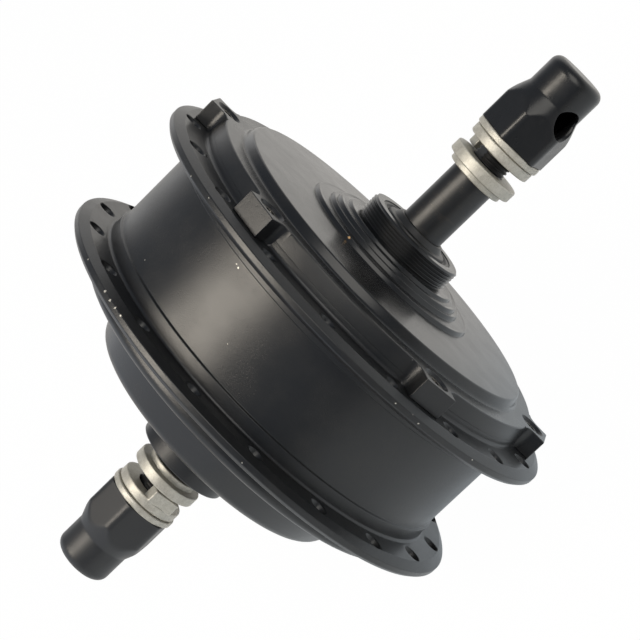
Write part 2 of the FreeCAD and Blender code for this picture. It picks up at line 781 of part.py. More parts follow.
def build_drive_cover():
    body = new_body("drive_cover")
    centre_floor = terrace_end - s.cover_plate - s.terrace_height / 2
    spigot_outer = shell_bore_radius - s.spigot_play
    foot_radius = cover_wall_radius + s.cover_foot
    foot_end = s.drive_flange_face + s.cover_foot_height
    relief = s.freewheel_thread_radius - s.freewheel_relief
    outline = [
        (foot_radius, s.drive_flange_face),
        (foot_radius, foot_end),
        (cover_wall_radius, foot_end),
        (cover_wall_radius - s.cover_wall_draft, cover_rim_face),
        (plateau_radius + s.plateau_wall_lean, cover_rim_face),
        (plateau_radius, plateau_face),
        *terrace_steps(),
        (relief, terrace_end),
        (relief, freewheel_thread_start),
        (s.freewheel_thread_radius, freewheel_thread_start),
        (s.freewheel_thread_radius, drive_boss_end),
        (hub_bearing_radius, drive_boss_end),
        (hub_bearing_radius, drive_bearing_start),
        (bearing_lip, drive_bearing_start),
        (bearing_lip, centre_floor),
        (cover_inner_radius, cover_inner_face),
        (cover_inner_radius, cover_rim_face - s.end_wall),
        (spigot_outer - s.spigot_wall, cover_rim_face - s.end_wall),
        (spigot_outer - s.spigot_wall, gear_end),
        (spigot_outer, gear_end),
        (spigot_outer, s.drive_flange_face),
    ]
    turn(body, "cover_turned", [outline])
    lead = [(s.freewheel_thread_radius, drive_boss_end)]
    soften(body, "Chamfer", "thread_lead", lead, s.freewheel_lead)
    rims = [(cover_wall_radius - s.cover_wall_draft, cover_rim_face)]
    soften(body, "Fillet", "rim_edge", rims, s.cover_edge_round)
    soften(body, "Fillet", "plateau_edge", [(plateau_radius, plateau_face)], s.cover_edge_round)
    foot = [(plateau_radius + s.plateau_wall_lean, cover_rim_face)]
    soften(body, "Fillet", "plateau_foot", foot, s.plateau_foot_round)
    lug_outline = sketch(body, "lug_outline", [lug_loop()], role="XZ_Plane")
    lug = along_axle(body, "lug", lug_outline, s.drive_flange_face, s.cover_wall_height)
    ring_of(body, "lugs", [lug], s.lug_count)
    mouth = s.screw_head_radius + s.screw_recess + s.screw_seat_play
    drill = sunk_hole_loop(s.screw_radius + s.screw_clearance, mouth,
                           s.drive_flange_face - 1, cover_rim_face)
    hole = turn(body, "screw_hole", [drill], cut=True, centre=(screw_circle_radius, 0))
    ring_of(body, "screw_holes", [hole], s.lug_count)


def terrace_steps():
    """Turned steps that climb from the plateau to the freewheel shoulder."""
    radii = (s.terrace_radius_1, s.terrace_radius_2, s.terrace_radius_3, s.terrace_radius_4)
    rise = s.terrace_height / len(radii)
    corners = []
    for step, radius in enumerate(radii):
        low = terrace_start + rise * step
        corners.append((radius, low))
        corners.append((radius - s.terrace_slope, low + rise))
    return corners


def lug_loop():
    """A screw lug seen along the axle, its sides swept out where they meet the cover's wall."""
    root = cover_wall_radius - s.cover_side_wall
    foot = cover_wall_radius - s.cover_wall_draft
    side = [
        (root, s.lug_foot_width / 2),
        (foot, s.lug_foot_width / 2),
        (foot + s.lug_foot / 2, (s.lug_width + (s.lug_foot_width - s.lug_width) / 4) / 2),
        (foot + s.lug_foot, s.lug_width / 2),
        (lug_reach, s.lug_width / 2),
    ]
    return [(x, -z) for x, z in side] + side[::-1]


def build_cover_screws():
    """Countersunk socket screws in the lugs."""
    body = new_body("cover_screws")
    head = s.screw_head_radius - s.screw_radius
    top = cover_rim_face - s.screw_recess
    bottom = cover_rim_face - s.screw_length
    outline = [
        (0, bottom), (s.screw_radius, bottom), (s.screw_radius, top - head),
        (s.screw_head_radius, top), (0, top),
    ]
    screw = turn(body, "screw", [outline], centre=(screw_circle_radius, 0))
    socket = sketch(body, "socket_outline", [
        [(screw_circle_radius + across, up)
         for across, up in polygon_loop(s.screw_key_radius, 6, 0.0)],
    ], role="XZ_Plane")
    key = along_axle(body, "socket", socket, top - head, head + 1, cut=True)
    ring_of(body, "screws", [screw, key], s.lug_count)


# Ball bearings and seals

def bearing_loops(bore, outside, start, width):
    """Outlines of the inner and outer ring, each with a straight-sided ball track."""
    wall = (outside - bore) * s.race_share
    track = wall * s.track_share
    inner_top = bore + wall
    outer_low = outside - wall
    middle = start + width / 2
    ball = (outer_low - inner_top) / 2 + track
    end = start + width
    inner = [
        (bore, start), (inner_top, start), (inner_top, middle - ball),
        (inner_top - track, middle - ball / 2), (inner_top - track, middle + ball / 2),
        (inner_top, middle + ball), (inner_top, end), (bore, end),
    ]
    outer = [
        (outside, start), (outside, end), (outer_low, end), (outer_low, middle + ball),
        (outer_low + track, middle + ball / 2), (outer_low + track, middle - ball / 2),
        (outer_low, middle - ball), (outer_low, start),
    ]
    pitch = (inner_top + outer_low) / 2
    return inner, outer, ball - s.ball_play, pitch, middle


def build_bearing(name, outside, start, width, count):
    inner, outer, ball, pitch, middle = bearing_loops(s.shaft_radius, outside, start, width)
    turn(new_body(f"{name}_inner_race"), f"{name}_inner_turned", [inner])
    turn(new_body(f"{name}_outer_race"), f"{name}_outer_turned", [outer])
    body = new_body(f"{name}_balls")
    sphere = body.newObject("PartDesign::AdditiveSphere", f"{name}_ball")
    bind(sphere, "Radius", ball)
    bind(sphere, "Placement.Base.x", pitch)
    bind(sphere, "Placement.Base.y", middle)
    body.Tip = sphere
    ring_of(body, f"{name}_ball_ring", [sphere], count)


def build_seals():
    """Seals with a rim, a groove and a lip, the drive one with a collar up the shaft."""
    lip = s.shaft_radius + s.running_gap
    outside = hub_bearing_radius
    groove = outside - 2 * s.seal_rim
    start = drive_bearing_end
    face = start + s.seal_width
    body = new_body("drive_seal")
    turn(body, "drive_seal_turned", [[
        (lip, start), (outside, start), (outside, face), (outside - s.seal_rim, face),
        (outside - 1.4 * s.seal_rim, face - s.seal_groove), (groove, face - s.seal_groove),
        (groove - s.seal_recess, face + s.seal_recess), (lip + 1.8 * s.seal_rim, face + s.seal_recess),
        (lip + 0.8 * s.seal_rim, face + s.seal_collar), (lip, face + s.seal_collar),
    ]])
    body = new_body("left_seal")
    face = boss_end + s.seal_recess
    turn(body, "left_seal_turned", [[
        (lip, face), (lip + s.seal_rim, face), (lip + 1.6 * s.seal_rim, face + s.seal_groove),
        (outside - 1.5 * s.seal_rim, face + s.seal_groove), (outside - s.seal_rim, face),
        (outside, face), (outside, face + s.seal_width), (lip, face + s.seal_width),
    ]])


# Stator

def build_stator_hub():
    """Cast spider that carries the laminations on the axle."""
    body = new_body("stator_hub")
    rim = stator_bore_radius
    web_low = stator_middle - s.spoke_web / 2
    web_high = stator_middle + s.spoke_web / 2
    rim_low = rim - s.hub_rim_wall
    hub_top = s.shaft_radius + s.hub_sleeve_wall
    turn(body, "stator_hub_turned", [[
        (s.shaft_radius, stator_hub_start), (hub_top, stator_hub_start), (hub_top, web_low),
        (rim_low, web_low), (rim_low, stator_left_end), (rim, stator_left_end),
        (rim, stator_right_end), (rim_low, stator_right_end), (rim_low, web_high),
        (hub_top, web_high), (hub_top, stator_hub_end), (s.shaft_radius, stator_hub_end),
    ]])
    slot = sketch(body, "hub_keyway_outline", [
        box_loop(-s.key_width / 2, -key_slot_bottom - s.key_height, s.key_width / 2, 0),
    ], role="XZ_Plane")
    length = stator_hub_end - stator_hub_start
    along_axle(body, "hub_keyway", slot, stator_hub_start, length, cut=True)


def tooth_loop(radius_top, shoe_start):
    half = tooth_width / 2
    shoe = tooth_shoe_width / 2
    root = stator_yoke_radius - s.coil_shoe_gap
    shoe_low = shoe_start + (radius_top - shoe_start) * 0.4
    return [
        (root, -half), (shoe_start, -half), (shoe_low, -shoe), (radius_top, -shoe),
        (radius_top, shoe), (shoe_low, shoe), (shoe_start, half), (root, half),
    ]


def build_laminations(label, start, length):
    """Yoke ring and teeth: the core, or a thinner insulating plate of the same outline."""
    body = new_body(label)
    turn(body, f"{label}_yoke", [box_loop(stator_bore_radius, start, stator_yoke_radius, start + length)])
    outline = tooth_loop(stator_radius - s.tooth_flat, stator_radius - s.tooth_shoe)
    drawing = sketch(body, f"{label}_tooth_outline", [outline], role="XZ_Plane")
    tooth = along_axle(body, f"{label}_tooth", drawing, start, length)
    ring_of(body, f"{label}_teeth", [tooth], s.tooth_count)


def build_windings():
    """One copper coil round each tooth, clear of its neighbours."""
    body = new_body("stator_windings")
    inside = tooth_width / 2 + s.coil_play
    outside = inside + coil_thickness
    low = stator_left_end - s.insulator - s.coil_overhang
    high = stator_right_end + s.insulator + s.coil_overhang
    gap_low = stator_left_end - s.insulator
    gap_high = stator_right_end + s.insulator
    coil_foot = stator_yoke_radius + s.coil_foot_gap
    coil_top = stator_radius - s.tooth_shoe - s.coil_shoe_gap
    drawing = sketch(body, "coil_outline", [
        box_loop(low, -outside, high, outside),
        box_loop(gap_low, -inside, gap_high, inside),
    ], role="YZ_Plane", height=coil_foot)
    coil = body.newObject("PartDesign::Pad", "coil")
    coil.Profile = drawing
    bind(coil, "Length", coil_top - coil_foot)
    body.Tip = coil
    ring_of(body, "coils", [coil], s.tooth_count)


def build_hall_board():
    """Crescent board with three sensors, screwed to the left side of the stator."""
    body = new_body("hall_board")
    high = stator_left_end - s.insulator
    low = high - s.board_thickness
    board_inner = stator_bore_radius + s.board_thickness / 2
    board_outer = stator_yoke_radius - s.board_thickness / 2
    turn(body, "board", [box_loop(board_inner, low, board_outer, high)], angle=s.board_angle)
    sensor_inner = board_inner + s.sensor_inset
    sensor = box_loop(sensor_inner, low - s.sensor_height, sensor_inner + s.sensor_depth, low)
    turn(body, "sensor", [sensor], angle=s.sensor_angle)


# Rotor

def build_rotor():
    body = new_body("rotor_can")
    rib = rotor_bearing_radius - s.rotor_rib_height
    sleeve_start = rotor_bearing_start + s.seal_gap
    turn(body, "rotor_turned", [[
        (rotor_bearing_radius, sleeve_start), (sleeve_radius, sleeve_start),
        (sleeve_radius, rotor_web_start), (magnet_outer, rotor_web_start),
        (magnet_outer, rotor_left_end), (rotor_radius, rotor_left_end),
        (rotor_radius, rotor_web_end), (sleeve_radius, rotor_web_end),
        (sleeve_radius, gear_start), (rotor_bearing_radius, gear_start),
        (rotor_bearing_radius, second_rotor_bearing), (rib, second_rotor_bearing),
        (rib, first_rotor_bearing_end), (rotor_bearing_radius, first_rotor_bearing_end),
    ]])
    window = circle_sketch(body, "rotor_window_circle", (stator_yoke_radius, 0),
                           s.rotor_window_radius)
    cut = along_axle(body, "rotor_window", window, rotor_web_start - 1, s.rotor_web + 2, cut=True)
    ring_of(body, "rotor_windows", [cut], s.rotor_window_count)
    magnets = new_body("rotor_magnets")
    ends = (rotor_left_end + s.magnet_end_gap, rotor_web_start - s.magnet_web_gap)
    magnet = turn(magnets, "magnet", [box_loop(magnet_inner, ends[0], magnet_outer, ends[1])],
                  angle=s.magnet_angle)
    ring_of(magnets, "magnets", [magnet], s.magnet_count)


def build_circlip(label, start):
    """Open retaining ring on the axle."""
    body = new_body(label)
    inner = s.shaft_radius
    turn(body, f"{label}_ring", [box_loop(inner, start, inner + s.circlip_height, start + s.circlip)])
    reach = inner + s.circlip_height + 1
    half = s.circlip_opening / 2
    gap = sketch(body, f"{label}_gap_outline", [box_loop(0, -half, reach, half)], role="XZ_Plane")
    along_axle(body, f"{label}_gap", gap, start, s.circlip, cut=True)


# Gears

def involute_half_angle(pitch_radius, base_radius, radius, tooth_angle):
    """Half the tooth's angle at a radius, for an involute through the pitch circle."""
    def roll(at):
        ratio = min(base_radius / at, 1.0)
        pressure = math.acos(ratio)
        return math.tan(pressure) - pressure
    return tooth_angle / 2 + roll(pitch_radius) - roll(max(radius, base_radius))


def gear_face(teeth, inner_root, outer_tip, backlash, internal=False):
    """Closed outline of a spur gear's teeth as a polygon of short involute steps."""
    module = gear_module.value
    pitch = module * teeth / 2
    base = pitch * math.cos(math.radians(20))
    thickness = math.pi / teeth - backlash / pitch
    if internal:
        thickness = math.pi / teeth + backlash / pitch
    levels = [inner_root + (outer_tip - inner_root) * step / 3 for step in range(4)]
    points = []
    for tooth in range(int(teeth)):
        middle = 2 * math.pi * tooth / teeth
        halves = [involute_half_angle(pitch, base, level, thickness) for level in levels]
        for level, half in zip(levels, halves):
            points.append((level, middle - half))
        for level, half in reversed(list(zip(levels, halves))):
            points.append((level, middle + half))
    corners = [FreeCAD.Vector(r * math.sin(a), 0, r * math.cos(a)) for r, a in points]
    return Part.Face(Part.makePolygon(corners + corners[:1]))


def gear_blank(face, start, end):
    solid = face.extrude(FreeCAD.Vector(0, end - start, 0))
    solid.translate(FreeCAD.Vector(0, start, 0))
    return solid


def tube(inner, outer, start, end):
    base = FreeCAD.Vector(0, start, 0)
    whole = Part.makeCylinder(outer, end - start, base, AXLE_LINE)
    return whole.cut(Part.makeCylinder(inner, end - start, base, AXLE_LINE))


def build_sun_gear():
    """Steel pinion whose spigot is pressed into the rotor sleeve."""
    teeth = s.sun_teeth.value
    pitch = gear_module.value * teeth / 2
    root = pitch - TOOTH_ROOT * gear_module.value
    start, end = gear_start.value, gear_end.value
    face = gear_face(teeth, root, pitch + gear_module.value, s.gear_backlash.value)
    spigot_start = second_rotor_bearing_end.value + s.seal_gap.value
    relief = s.shaft_radius.value + s.circlip_height.value + s.sun_spigot_play.value
    bore = s.shaft_radius.value + s.sun_bore_play.value
    blank = gear_blank(face, start, end)
    blank = blank.cut(Part.makeCylinder(bore, end - start, FreeCAD.Vector(0, start, 0), AXLE_LINE))
    spigot = tube(relief, rotor_bearing_radius.value, spigot_start, start)
    fixed_shape("sun_gear", blank.fuse(spigot).removeSplitter())


def build_planets():
    teeth = s.planet_teeth.value
    pitch = gear_module.value * teeth / 2
    root = pitch - TOOTH_ROOT * gear_module.value
    start = gear_start.value + s.gear_side_gap.value
    end = gear_end.value - s.gear_side_gap.value
    bush = s.planet_pin_radius.value + s.planet_bush_wall.value
    pin_gap = s.planet_pin_radius.value + s.running_gap.value
    sun = s.sun_teeth.value
    for index in range(int(s.planet_count.value)):
        place_angle = 360.0 * index / s.planet_count.value
        # A planet meshes where its tooth space faces a sun tooth, after it has rolled to its place.
        roll = place_angle * (1 + sun / teeth) + 180.0 / teeth * ((teeth + 1) % 2)
        face = gear_face(teeth, root, pitch + gear_module.value, s.gear_backlash.value)
        blank = gear_blank(face, start, end)
        blank = blank.cut(Part.makeCylinder(bush, end - start, FreeCAD.Vector(0, start, 0), AXLE_LINE))
        blank.rotate(ORIGIN, AXLE_LINE, roll)
        sleeve = tube(pin_gap, bush, start, end)
        for label, solid in (("planet_gear", blank), ("planet_bush", sleeve)):
            solid.translate(planet_centres(0)[index])
            fixed_shape(f"{label}_{index + 1}", solid)


def build_ring_gear():
    teeth = ring_teeth.value
    pitch = gear_module.value * teeth / 2
    tip = pitch - gear_module.value
    root = pitch + TOOTH_ROOT * gear_module.value
    start, end = gear_start.value, gear_end.value
    hollow = gear_blank(gear_face(teeth, tip, root, s.gear_backlash.value, True), start, end)
    # The hollow is a gear of tooth spaces, turned half a pitch where a planet's tooth points outwards.
    hollow.rotate(ORIGIN, AXLE_LINE, ring_turn())
    outer = Part.makeCylinder(shell_bore_radius.value, end - start, FreeCAD.Vector(0, start, 0), AXLE_LINE)
    fixed_shape("ring_gear", outer.cut(hollow))


def ring_turn():
    """Turn of the ring's tooth spaces so that one faces the first planet's outermost tooth."""
    planet = s.planet_teeth.value
    first_tooth_up = (planet + 1) % 2 == 0
    return 0.0 if first_tooth_up else 180.0 / ring_teeth.value


# Planet carrier and one-way clutch

def build_carrier():
    """Steel disc with three pins, in one piece with the outer race of the one-way clutch."""
    start = carrier_start.value
    disc_end = start + s.carrier_disc.value
    outer = s.clutch_outer_radius.value
    end = clutch_end.value - s.carrier_inset.value
    race = s.clutch_inner_radius.value + s.clutch_race_gap.value
    centres = planet_centres(start)
    lobe = s.carrier_lobe_radius.value
    lobes = [Part.makeCylinder(lobe, s.carrier_disc.value, centre, AXLE_LINE) for centre in centres]
    base = FreeCAD.Vector(0, start, 0)
    disc = Part.makeCylinder(planet_circle.value, s.carrier_disc.value, base, AXLE_LINE)
    hub = Part.makeCylinder(outer, end - start, base, AXLE_LINE)
    solid = hub.fuse([disc] + lobes)
    solid = solid.cut(Part.makeCylinder(race, end - start, base, AXLE_LINE))
    solid = solid.cut(copies_round_axle(roller_pocket(start, end), s.roller_count.value))
    pin_radius = s.planet_pin_radius.value
    for centre in centres:
        solid = solid.cut(Part.makeCylinder(pin_radius, s.carrier_disc.value, centre, AXLE_LINE))
    fixed_shape("planet_carrier", solid.removeSplitter())
    low = gear_start.value
    pins = [Part.makeCylinder(pin_radius, disc_end - low, centre, AXLE_LINE) for centre in planet_centres(low)]
    fixed_shape("planet_pins", Part.makeCompound(pins))
    clip = s.pin_clip.value
    clip_radius = pin_radius + s.pin_clip_height.value
    clips = [Part.makeCylinder(clip_radius, clip, centre, AXLE_LINE) for centre in planet_centres(low - clip)]
    fixed_shape("pin_clips", Part.makeCompound(clips))


def planet_centres(along):
    """Centres of the planets at a place on Y."""
    centres = []
    for index in range(int(s.planet_count.value)):
        angle = math.radians(360.0 * index / s.planet_count.value)
        centres.append(FreeCAD.Vector(
            planet_circle.value * math.sin(angle), along, planet_circle.value * math.cos(angle)))
    return centres


def roller_pocket(start, end):
    """Wedge-shaped space of the outer race: wide where the roller runs free, narrow where it grips."""
    roller = s.roller_radius.value
    inner = s.clutch_inner_radius.value
    grip = inner + 2 * roller + s.pocket_grip_play.value
    free = grip + s.pocket_rise.value
    side = roller + s.pocket_side_play.value
    run_end = side + s.pocket_run.value
    low = inner - s.pocket_depth.value
    corners = [
        FreeCAD.Vector(-side, start, low),
        FreeCAD.Vector(-side, start, grip),
        FreeCAD.Vector(run_end, start, free),
        FreeCAD.Vector(run_end, start, low),
    ]
    face = Part.Face(Part.makePolygon(corners + corners[:1]))
    return face.extrude(FreeCAD.Vector(0, end - start, 0))


def build_clutch():
    start, end = clutch_start.value, clutch_end.value
    race = tube(s.shaft_radius.value, s.clutch_inner_radius.value, start, end)
    half = s.key_width.value / 2
    key = Part.makeBox(2 * half, end - start, s.key_height.value,
                       FreeCAD.Vector(-half, start, -key_slot_bottom.value - s.key_height.value))
    fixed_shape("clutch_inner_race", race.cut(key))
    roller_start = start + s.roller_start_gap.value
    roller_end = end - s.roller_end_gap.value
    height = s.clutch_inner_radius.value + s.roller_radius.value + s.roller_play.value
    centre = FreeCAD.Vector(0, roller_start, height)
    roller = Part.makeCylinder(s.roller_radius.value, roller_end - roller_start, centre, AXLE_LINE)
    fixed_shape("clutch_rollers", copies_round_axle(roller, s.roller_count.value))
    inset = s.spring_inset.value
    low = FreeCAD.Vector(
        s.roller_radius.value + s.spring_gap.value, roller_start + inset, height - s.spring_height.value / 2)
    spring_width = roller_end - roller_start - 2 * inset
    spring = Part.makeBox(s.spring_length.value, spring_width, s.spring_height.value, low)
    fixed_shape("clutch_springs", copies_round_axle(spring, s.roller_count.value))


def build_all():
    build_axle()
    build_key("stator_key", stator_hub_start, stator_hub_end)
    build_key("clutch_key", clutch_start, clutch_end)
    for name, side, tab_side, hex_turn in (
        ("drive", 1, -1, s.drive_cover_turn.value),
        ("left", -1, 1, s.left_cover_turn.value),
    ):
        build_spacer_washer(f"{name}_spacer_washer", side)
        build_tab_washer(f"{name}_tab_washer", side, tab_side)
        build_nut(f"{name}_axle_nut", side, hex_turn)
        build_nut_cover(f"{name}_nut_cover", side, hex_turn, cable_hole=side > 0)
    build_hub_shell()
    build_drive_cover()
    build_cover_screws()
    build_bearing("drive_bearing", hub_bearing_radius, drive_bearing_start, s.hub_bearing_width,
                  s.hub_ball_count)
    build_bearing("left_bearing", hub_bearing_radius, left_bearing_start, s.hub_bearing_width,
                  s.hub_ball_count)
    build_bearing("rotor_bearing_left", rotor_bearing_radius, rotor_bearing_start,
                  s.rotor_bearing_width, s.rotor_ball_count)
    build_bearing("rotor_bearing_drive", rotor_bearing_radius, second_rotor_bearing,
                  s.rotor_bearing_width, s.rotor_ball_count)
    build_seals()
    build_stator_hub()
    build_laminations("stator_core", stator_left_end, stator_right_end - stator_left_end)
    build_laminations("left_insulator", stator_left_end - s.insulator, s.insulator)
    build_laminations("drive_insulator", stator_right_end, s.insulator)
    build_windings()
    build_hall_board()
    build_rotor()
    build_circlip("stator_circlip", stator_hub_end)
    build_circlip("rotor_circlip", second_rotor_bearing_end)
    build_sun_gear()
    build_planets()
    build_ring_gear()
    build_carrier()
    build_clutch()
    simple_ring("thrust_washer", s.shaft_radius, s.shaft_radius + s.thrust_washer_height,
                clutch_start - s.thrust_washer, clutch_start)
    simple_ring("bearing_sleeve", s.shaft_radius, s.shaft_radius + s.bearing_sleeve_wall,
                clutch_end, drive_bearing_start)


def check_and_write():
    doc.recompute()
    for thing in doc.Objects:
        if "Invalid" in thing.State or "Error" in thing.State:
            raise RuntimeError(f"{thing.Name} failed: {thing.State}")
    os.makedirs("parts", exist_ok=True)
    for subpart in SUBPARTS:
        shape = subpart.Shape
        if shape.isNull() or not shape.isValid() or not shape.Solids:
            raise RuntimeError(f"{subpart.Label} has no valid solid")
        shape.exportStep(f"parts/{subpart.Label}.step")
        print(f"{subpart.Label}: {len(shape.Solids)} solids, {shape.Volume / 1000:.2f} cm3")


build_all()
check_and_write()
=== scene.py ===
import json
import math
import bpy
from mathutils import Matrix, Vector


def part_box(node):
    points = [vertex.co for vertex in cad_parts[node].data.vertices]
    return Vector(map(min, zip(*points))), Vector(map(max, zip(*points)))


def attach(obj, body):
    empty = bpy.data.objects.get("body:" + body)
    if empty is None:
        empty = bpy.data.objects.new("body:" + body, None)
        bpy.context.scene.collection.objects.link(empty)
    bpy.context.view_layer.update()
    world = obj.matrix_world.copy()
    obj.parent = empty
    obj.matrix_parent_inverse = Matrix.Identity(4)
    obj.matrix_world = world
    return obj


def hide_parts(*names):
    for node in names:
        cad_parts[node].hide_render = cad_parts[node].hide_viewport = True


bl_info = {
    "name": "Geared Hub Motor",
    "version": (1, 0, 0),
    "blender": (4, 5, 0),
    "location": "View3D > Sidebar > Hub Motor",
    "description": "Builds a geared rear hub motor with its axle, nuts and washers, and a pale studio",
    "category": "Add Mesh",
}

import bmesh
import bpy
from bpy.props import FloatProperty, FloatVectorProperty, IntProperty, PointerProperty
from mathutils import Matrix, Vector

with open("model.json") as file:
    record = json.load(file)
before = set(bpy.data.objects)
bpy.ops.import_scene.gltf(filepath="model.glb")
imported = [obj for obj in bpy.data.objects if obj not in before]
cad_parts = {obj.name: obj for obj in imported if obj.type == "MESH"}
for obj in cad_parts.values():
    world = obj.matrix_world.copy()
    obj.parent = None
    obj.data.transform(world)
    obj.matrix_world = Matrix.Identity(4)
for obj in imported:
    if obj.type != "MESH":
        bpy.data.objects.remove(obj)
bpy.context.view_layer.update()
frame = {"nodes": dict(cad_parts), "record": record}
MM = 0.001

# Places and sizes that several pieces share, in millimetres
LEFT_FLANGE_FACE, DRIVE_FLANGE_FACE = -23.4, 18.0
SPOKE_CIRCLE = 72.0
SCREW_CIRCLE = 66.5
SCREW_COUNT = 6
LUG_TOP = 25.5
SHAFT, THREAD = 7.5, 6.0
SHOULDER = 65.2
BORE = 6.06
NUT_SEAT = 78.7
NUT_FLANGE_END = 81.0
COVER_END = 110.0
FLOOR_REACH = 4000


# Mesh helpers: outlines are (radius, Y, rounding) corners in millimetres, turned about the axle line

def rounded(corners, closed, steps=4):
    """Outline points with an arc at each corner that has a rounding."""
    points = []
    count = len(corners)
    for i, (radius, along, rounding) in enumerate(corners):
        here = Vector((radius, along))
        at_end = not closed and i in (0, count - 1)
        if rounding <= 0 or at_end:
            points.append(here)
            continue
        before = Vector(corners[i - 1][:2]) - here
        after = Vector(corners[(i + 1) % count][:2]) - here
        reach = 0.48 * min(before.length, after.length)
        before.normalize()
        after.normalize()
        half = before.angle(after) / 2
        if half > math.pi / 2 - 0.02:
            points.append(here)
            continue
        tangent = min(rounding / math.tan(half), reach)
        size = tangent * math.tan(half)
        middle = here + (before + after).normalized() * size / math.sin(half)
        first = here + before * tangent - middle
        last = here + after * tangent - middle
        start = math.atan2(first.y, first.x)
        sweep = (math.atan2(last.y, last.x) - start + math.pi) % (2 * math.pi) - math.pi
        for step in range(steps + 1):
            angle = start + sweep * step / steps
            points.append(middle + Vector((math.cos(angle), math.sin(angle))) * size)
    return points


def spread(points, along_step, low, high):
    """Adds points along the straight runs between two places on Y, for a thread or a taper."""
    result = []
    for here, after in zip(points, points[1:] + points[:1]):
        result.append(here)
        inside = low - 0.01 <= min(here.y, after.y) and max(here.y, after.y) <= high + 0.01
        pieces = round(abs(after.y - here.y) / along_step) if inside else 1
        for piece in range(1, pieces):
            result.append(here.lerp(after, piece / pieces))
    return result


def turned(points, segments=160, closed=True, shape=None, first=0.0):
    """Mesh of an outline turned about Y. shape(radius, along, angle) may change a point's radius."""
    shell = bmesh.new()
    rings = []
    for point in points:
        if point.x < 1e-6:
            rings.append([shell.verts.new((0, point.y * MM, 0))])
            continue
        ring = []
        for segment in range(segments):
            angle = first + 2 * math.pi * segment / segments
            radius = shape(point.x, point.y, angle) if shape else point.x
            ring.append(shell.verts.new((
                radius * math.sin(angle) * MM, point.y * MM, radius * math.cos(angle) * MM)))
        rings.append(ring)
    pairs = list(zip(rings, rings[1:]))
    if closed:
        pairs.append((rings[-1], rings[0]))
    for low, high in pairs:
        for i in range(segments):
            after = (i + 1) % segments
            corners = []
            for vertex in (low[i % len(low)], low[after % len(low)],
                           high[after % len(high)], high[i % len(high)]):
                if vertex not in corners:
                    corners.append(vertex)
            if len(corners) > 2:
                shell.faces.new(corners)
    return finished_mesh(shell)


def finished_mesh(shell, smooth=True):
    """The mesh of a shell, its normals turned outward."""
    bmesh.ops.recalc_face_normals(shell, faces=shell.faces)
    mesh = bpy.data.meshes.new("piece")
    shell.to_mesh(mesh)
    shell.free()
    mesh.polygons.foreach_set("use_smooth", [smooth] * len(mesh.polygons))
    return mesh


def bar(outline, low, high, smooth=False):
    """A prism of an (X, Z) outline between two places on Y."""
    shell = bmesh.new()
    near = [shell.verts.new((x * MM, low * MM, z * MM)) for x, z in outline]
    far = [shell.verts.new((x * MM, high * MM, z * MM)) for x, z in outline]
    shell.faces.new(near)
    shell.faces.new(far)
    for i in range(len(outline)):
        after = (i + 1) % len(outline)
        shell.faces.new((near[i], near[after], far[after], far[i]))
    return finished_mesh(shell, smooth)


def loose(name, mesh):
    """An object of the mesh that isn't on the frame yet."""
    thing = bpy.data.objects.new(name, mesh)
    bpy.context.scene.collection.objects.link(thing)
    return thing


def settle(thing):
    """Makes the object's modifiers part of its mesh."""
    bpy.context.view_layer.update()
    graph = bpy.context.evaluated_depsgraph_get()
    mesh = bpy.data.meshes.new_from_object(thing.evaluated_get(graph))
    thing.modifiers.clear()
    thing.data = mesh
    return thing


def combine(thing, tool, operation):
    """Joins a tool object to the piece, or cuts it away, and removes the tool."""
    change = thing.modifiers.new(operation.lower(), "BOOLEAN")
    change.operation = operation
    change.solver = "EXACT"
    change.object = tool
    settle(thing)
    bpy.data.objects.remove(tool)
    return thing


def soft_edges(thing, width, segments=2, angle=0.6):
    """Rounds the sharp edges by a width in millimetres."""
    bevel = thing.modifiers.new("edges", "BEVEL")
    bevel.width = width * MM
    bevel.segments = segments
    bevel.limit_method = "ANGLE"
    bevel.angle_limit = angle
    return settle(thing)


def even_shading(thing):
    """Normals that follow the large faces, so flats stay flat beside their rounded edges."""
    thing.data.polygons.foreach_set("use_smooth", [True] * len(thing.data.polygons))
    weigh = thing.modifiers.new("normals", "WEIGHTED_NORMAL")
    weigh.mode = "FACE_AREA"
    weigh.weight = 100
    weigh.keep_sharp = False
    return settle(thing)


def repeat_round(thing, count, turn_degrees, material=None):
    """Copies the piece evenly about the axle line with a node tree."""
    group = bpy.data.node_groups.new("ring_of_copies", "GeometryNodeTree")
    for name, kind in (("Geometry", "Geometry"), ("Count", "Int"), ("Turn", "Float"),
                       ("Material", "Material")):
        group.interface.new_socket(name, in_out="INPUT", socket_type=f"NodeSocket{kind}")
    group.interface.new_socket("Geometry", in_out="OUTPUT", socket_type="NodeSocketGeometry")
    g = Nodes(group)
    given = g.node("NodeGroupInput")
    line = g.node("GeometryNodeMeshLine", None, {"Count": given.beside("Count"), "Offset": (0, 0, 0)})
    share = g.node("GeometryNodeInputIndex") / given.beside("Count")
    spin = g.node("ShaderNodeCombineXYZ", None, {"Y": share * (2 * math.pi) + given.beside("Turn")})
    copies = g.node("GeometryNodeInstanceOnPoints", None, {
        "Points": line, "Instance": given, "Rotation": spin})
    real = g.node("GeometryNodeRealizeInstances", None, {0: copies})
    painted = g.node("GeometryNodeSetMaterial", None, {
        "Geometry": real, "Material": given.beside("Material")})
    g.node("NodeGroupOutput", None, {0: painted}, out=None)
    change = thing.modifiers.new("ring", "NODES")
    change.node_group = group
    values = {"Count": count, "Turn": math.radians(turn_degrees), "Material": material}
    for socket in group.interface.items_tree:
        if socket.in_out == "INPUT" and socket.name in values:
            change[socket.identifier] = values[socket.name]
    return settle(thing)


def seat(thing, name, material, body, *nodes):
    """Names a finished piece, gives it its material and sets it on the frame."""
    thing.name = name
    thing.data.name = name
    thing.data.materials.clear()
    thing.data.materials.append(material)
    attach(thing, body)
    if nodes:
        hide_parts(*nodes)
        slot_of(nodes[0])
    return thing


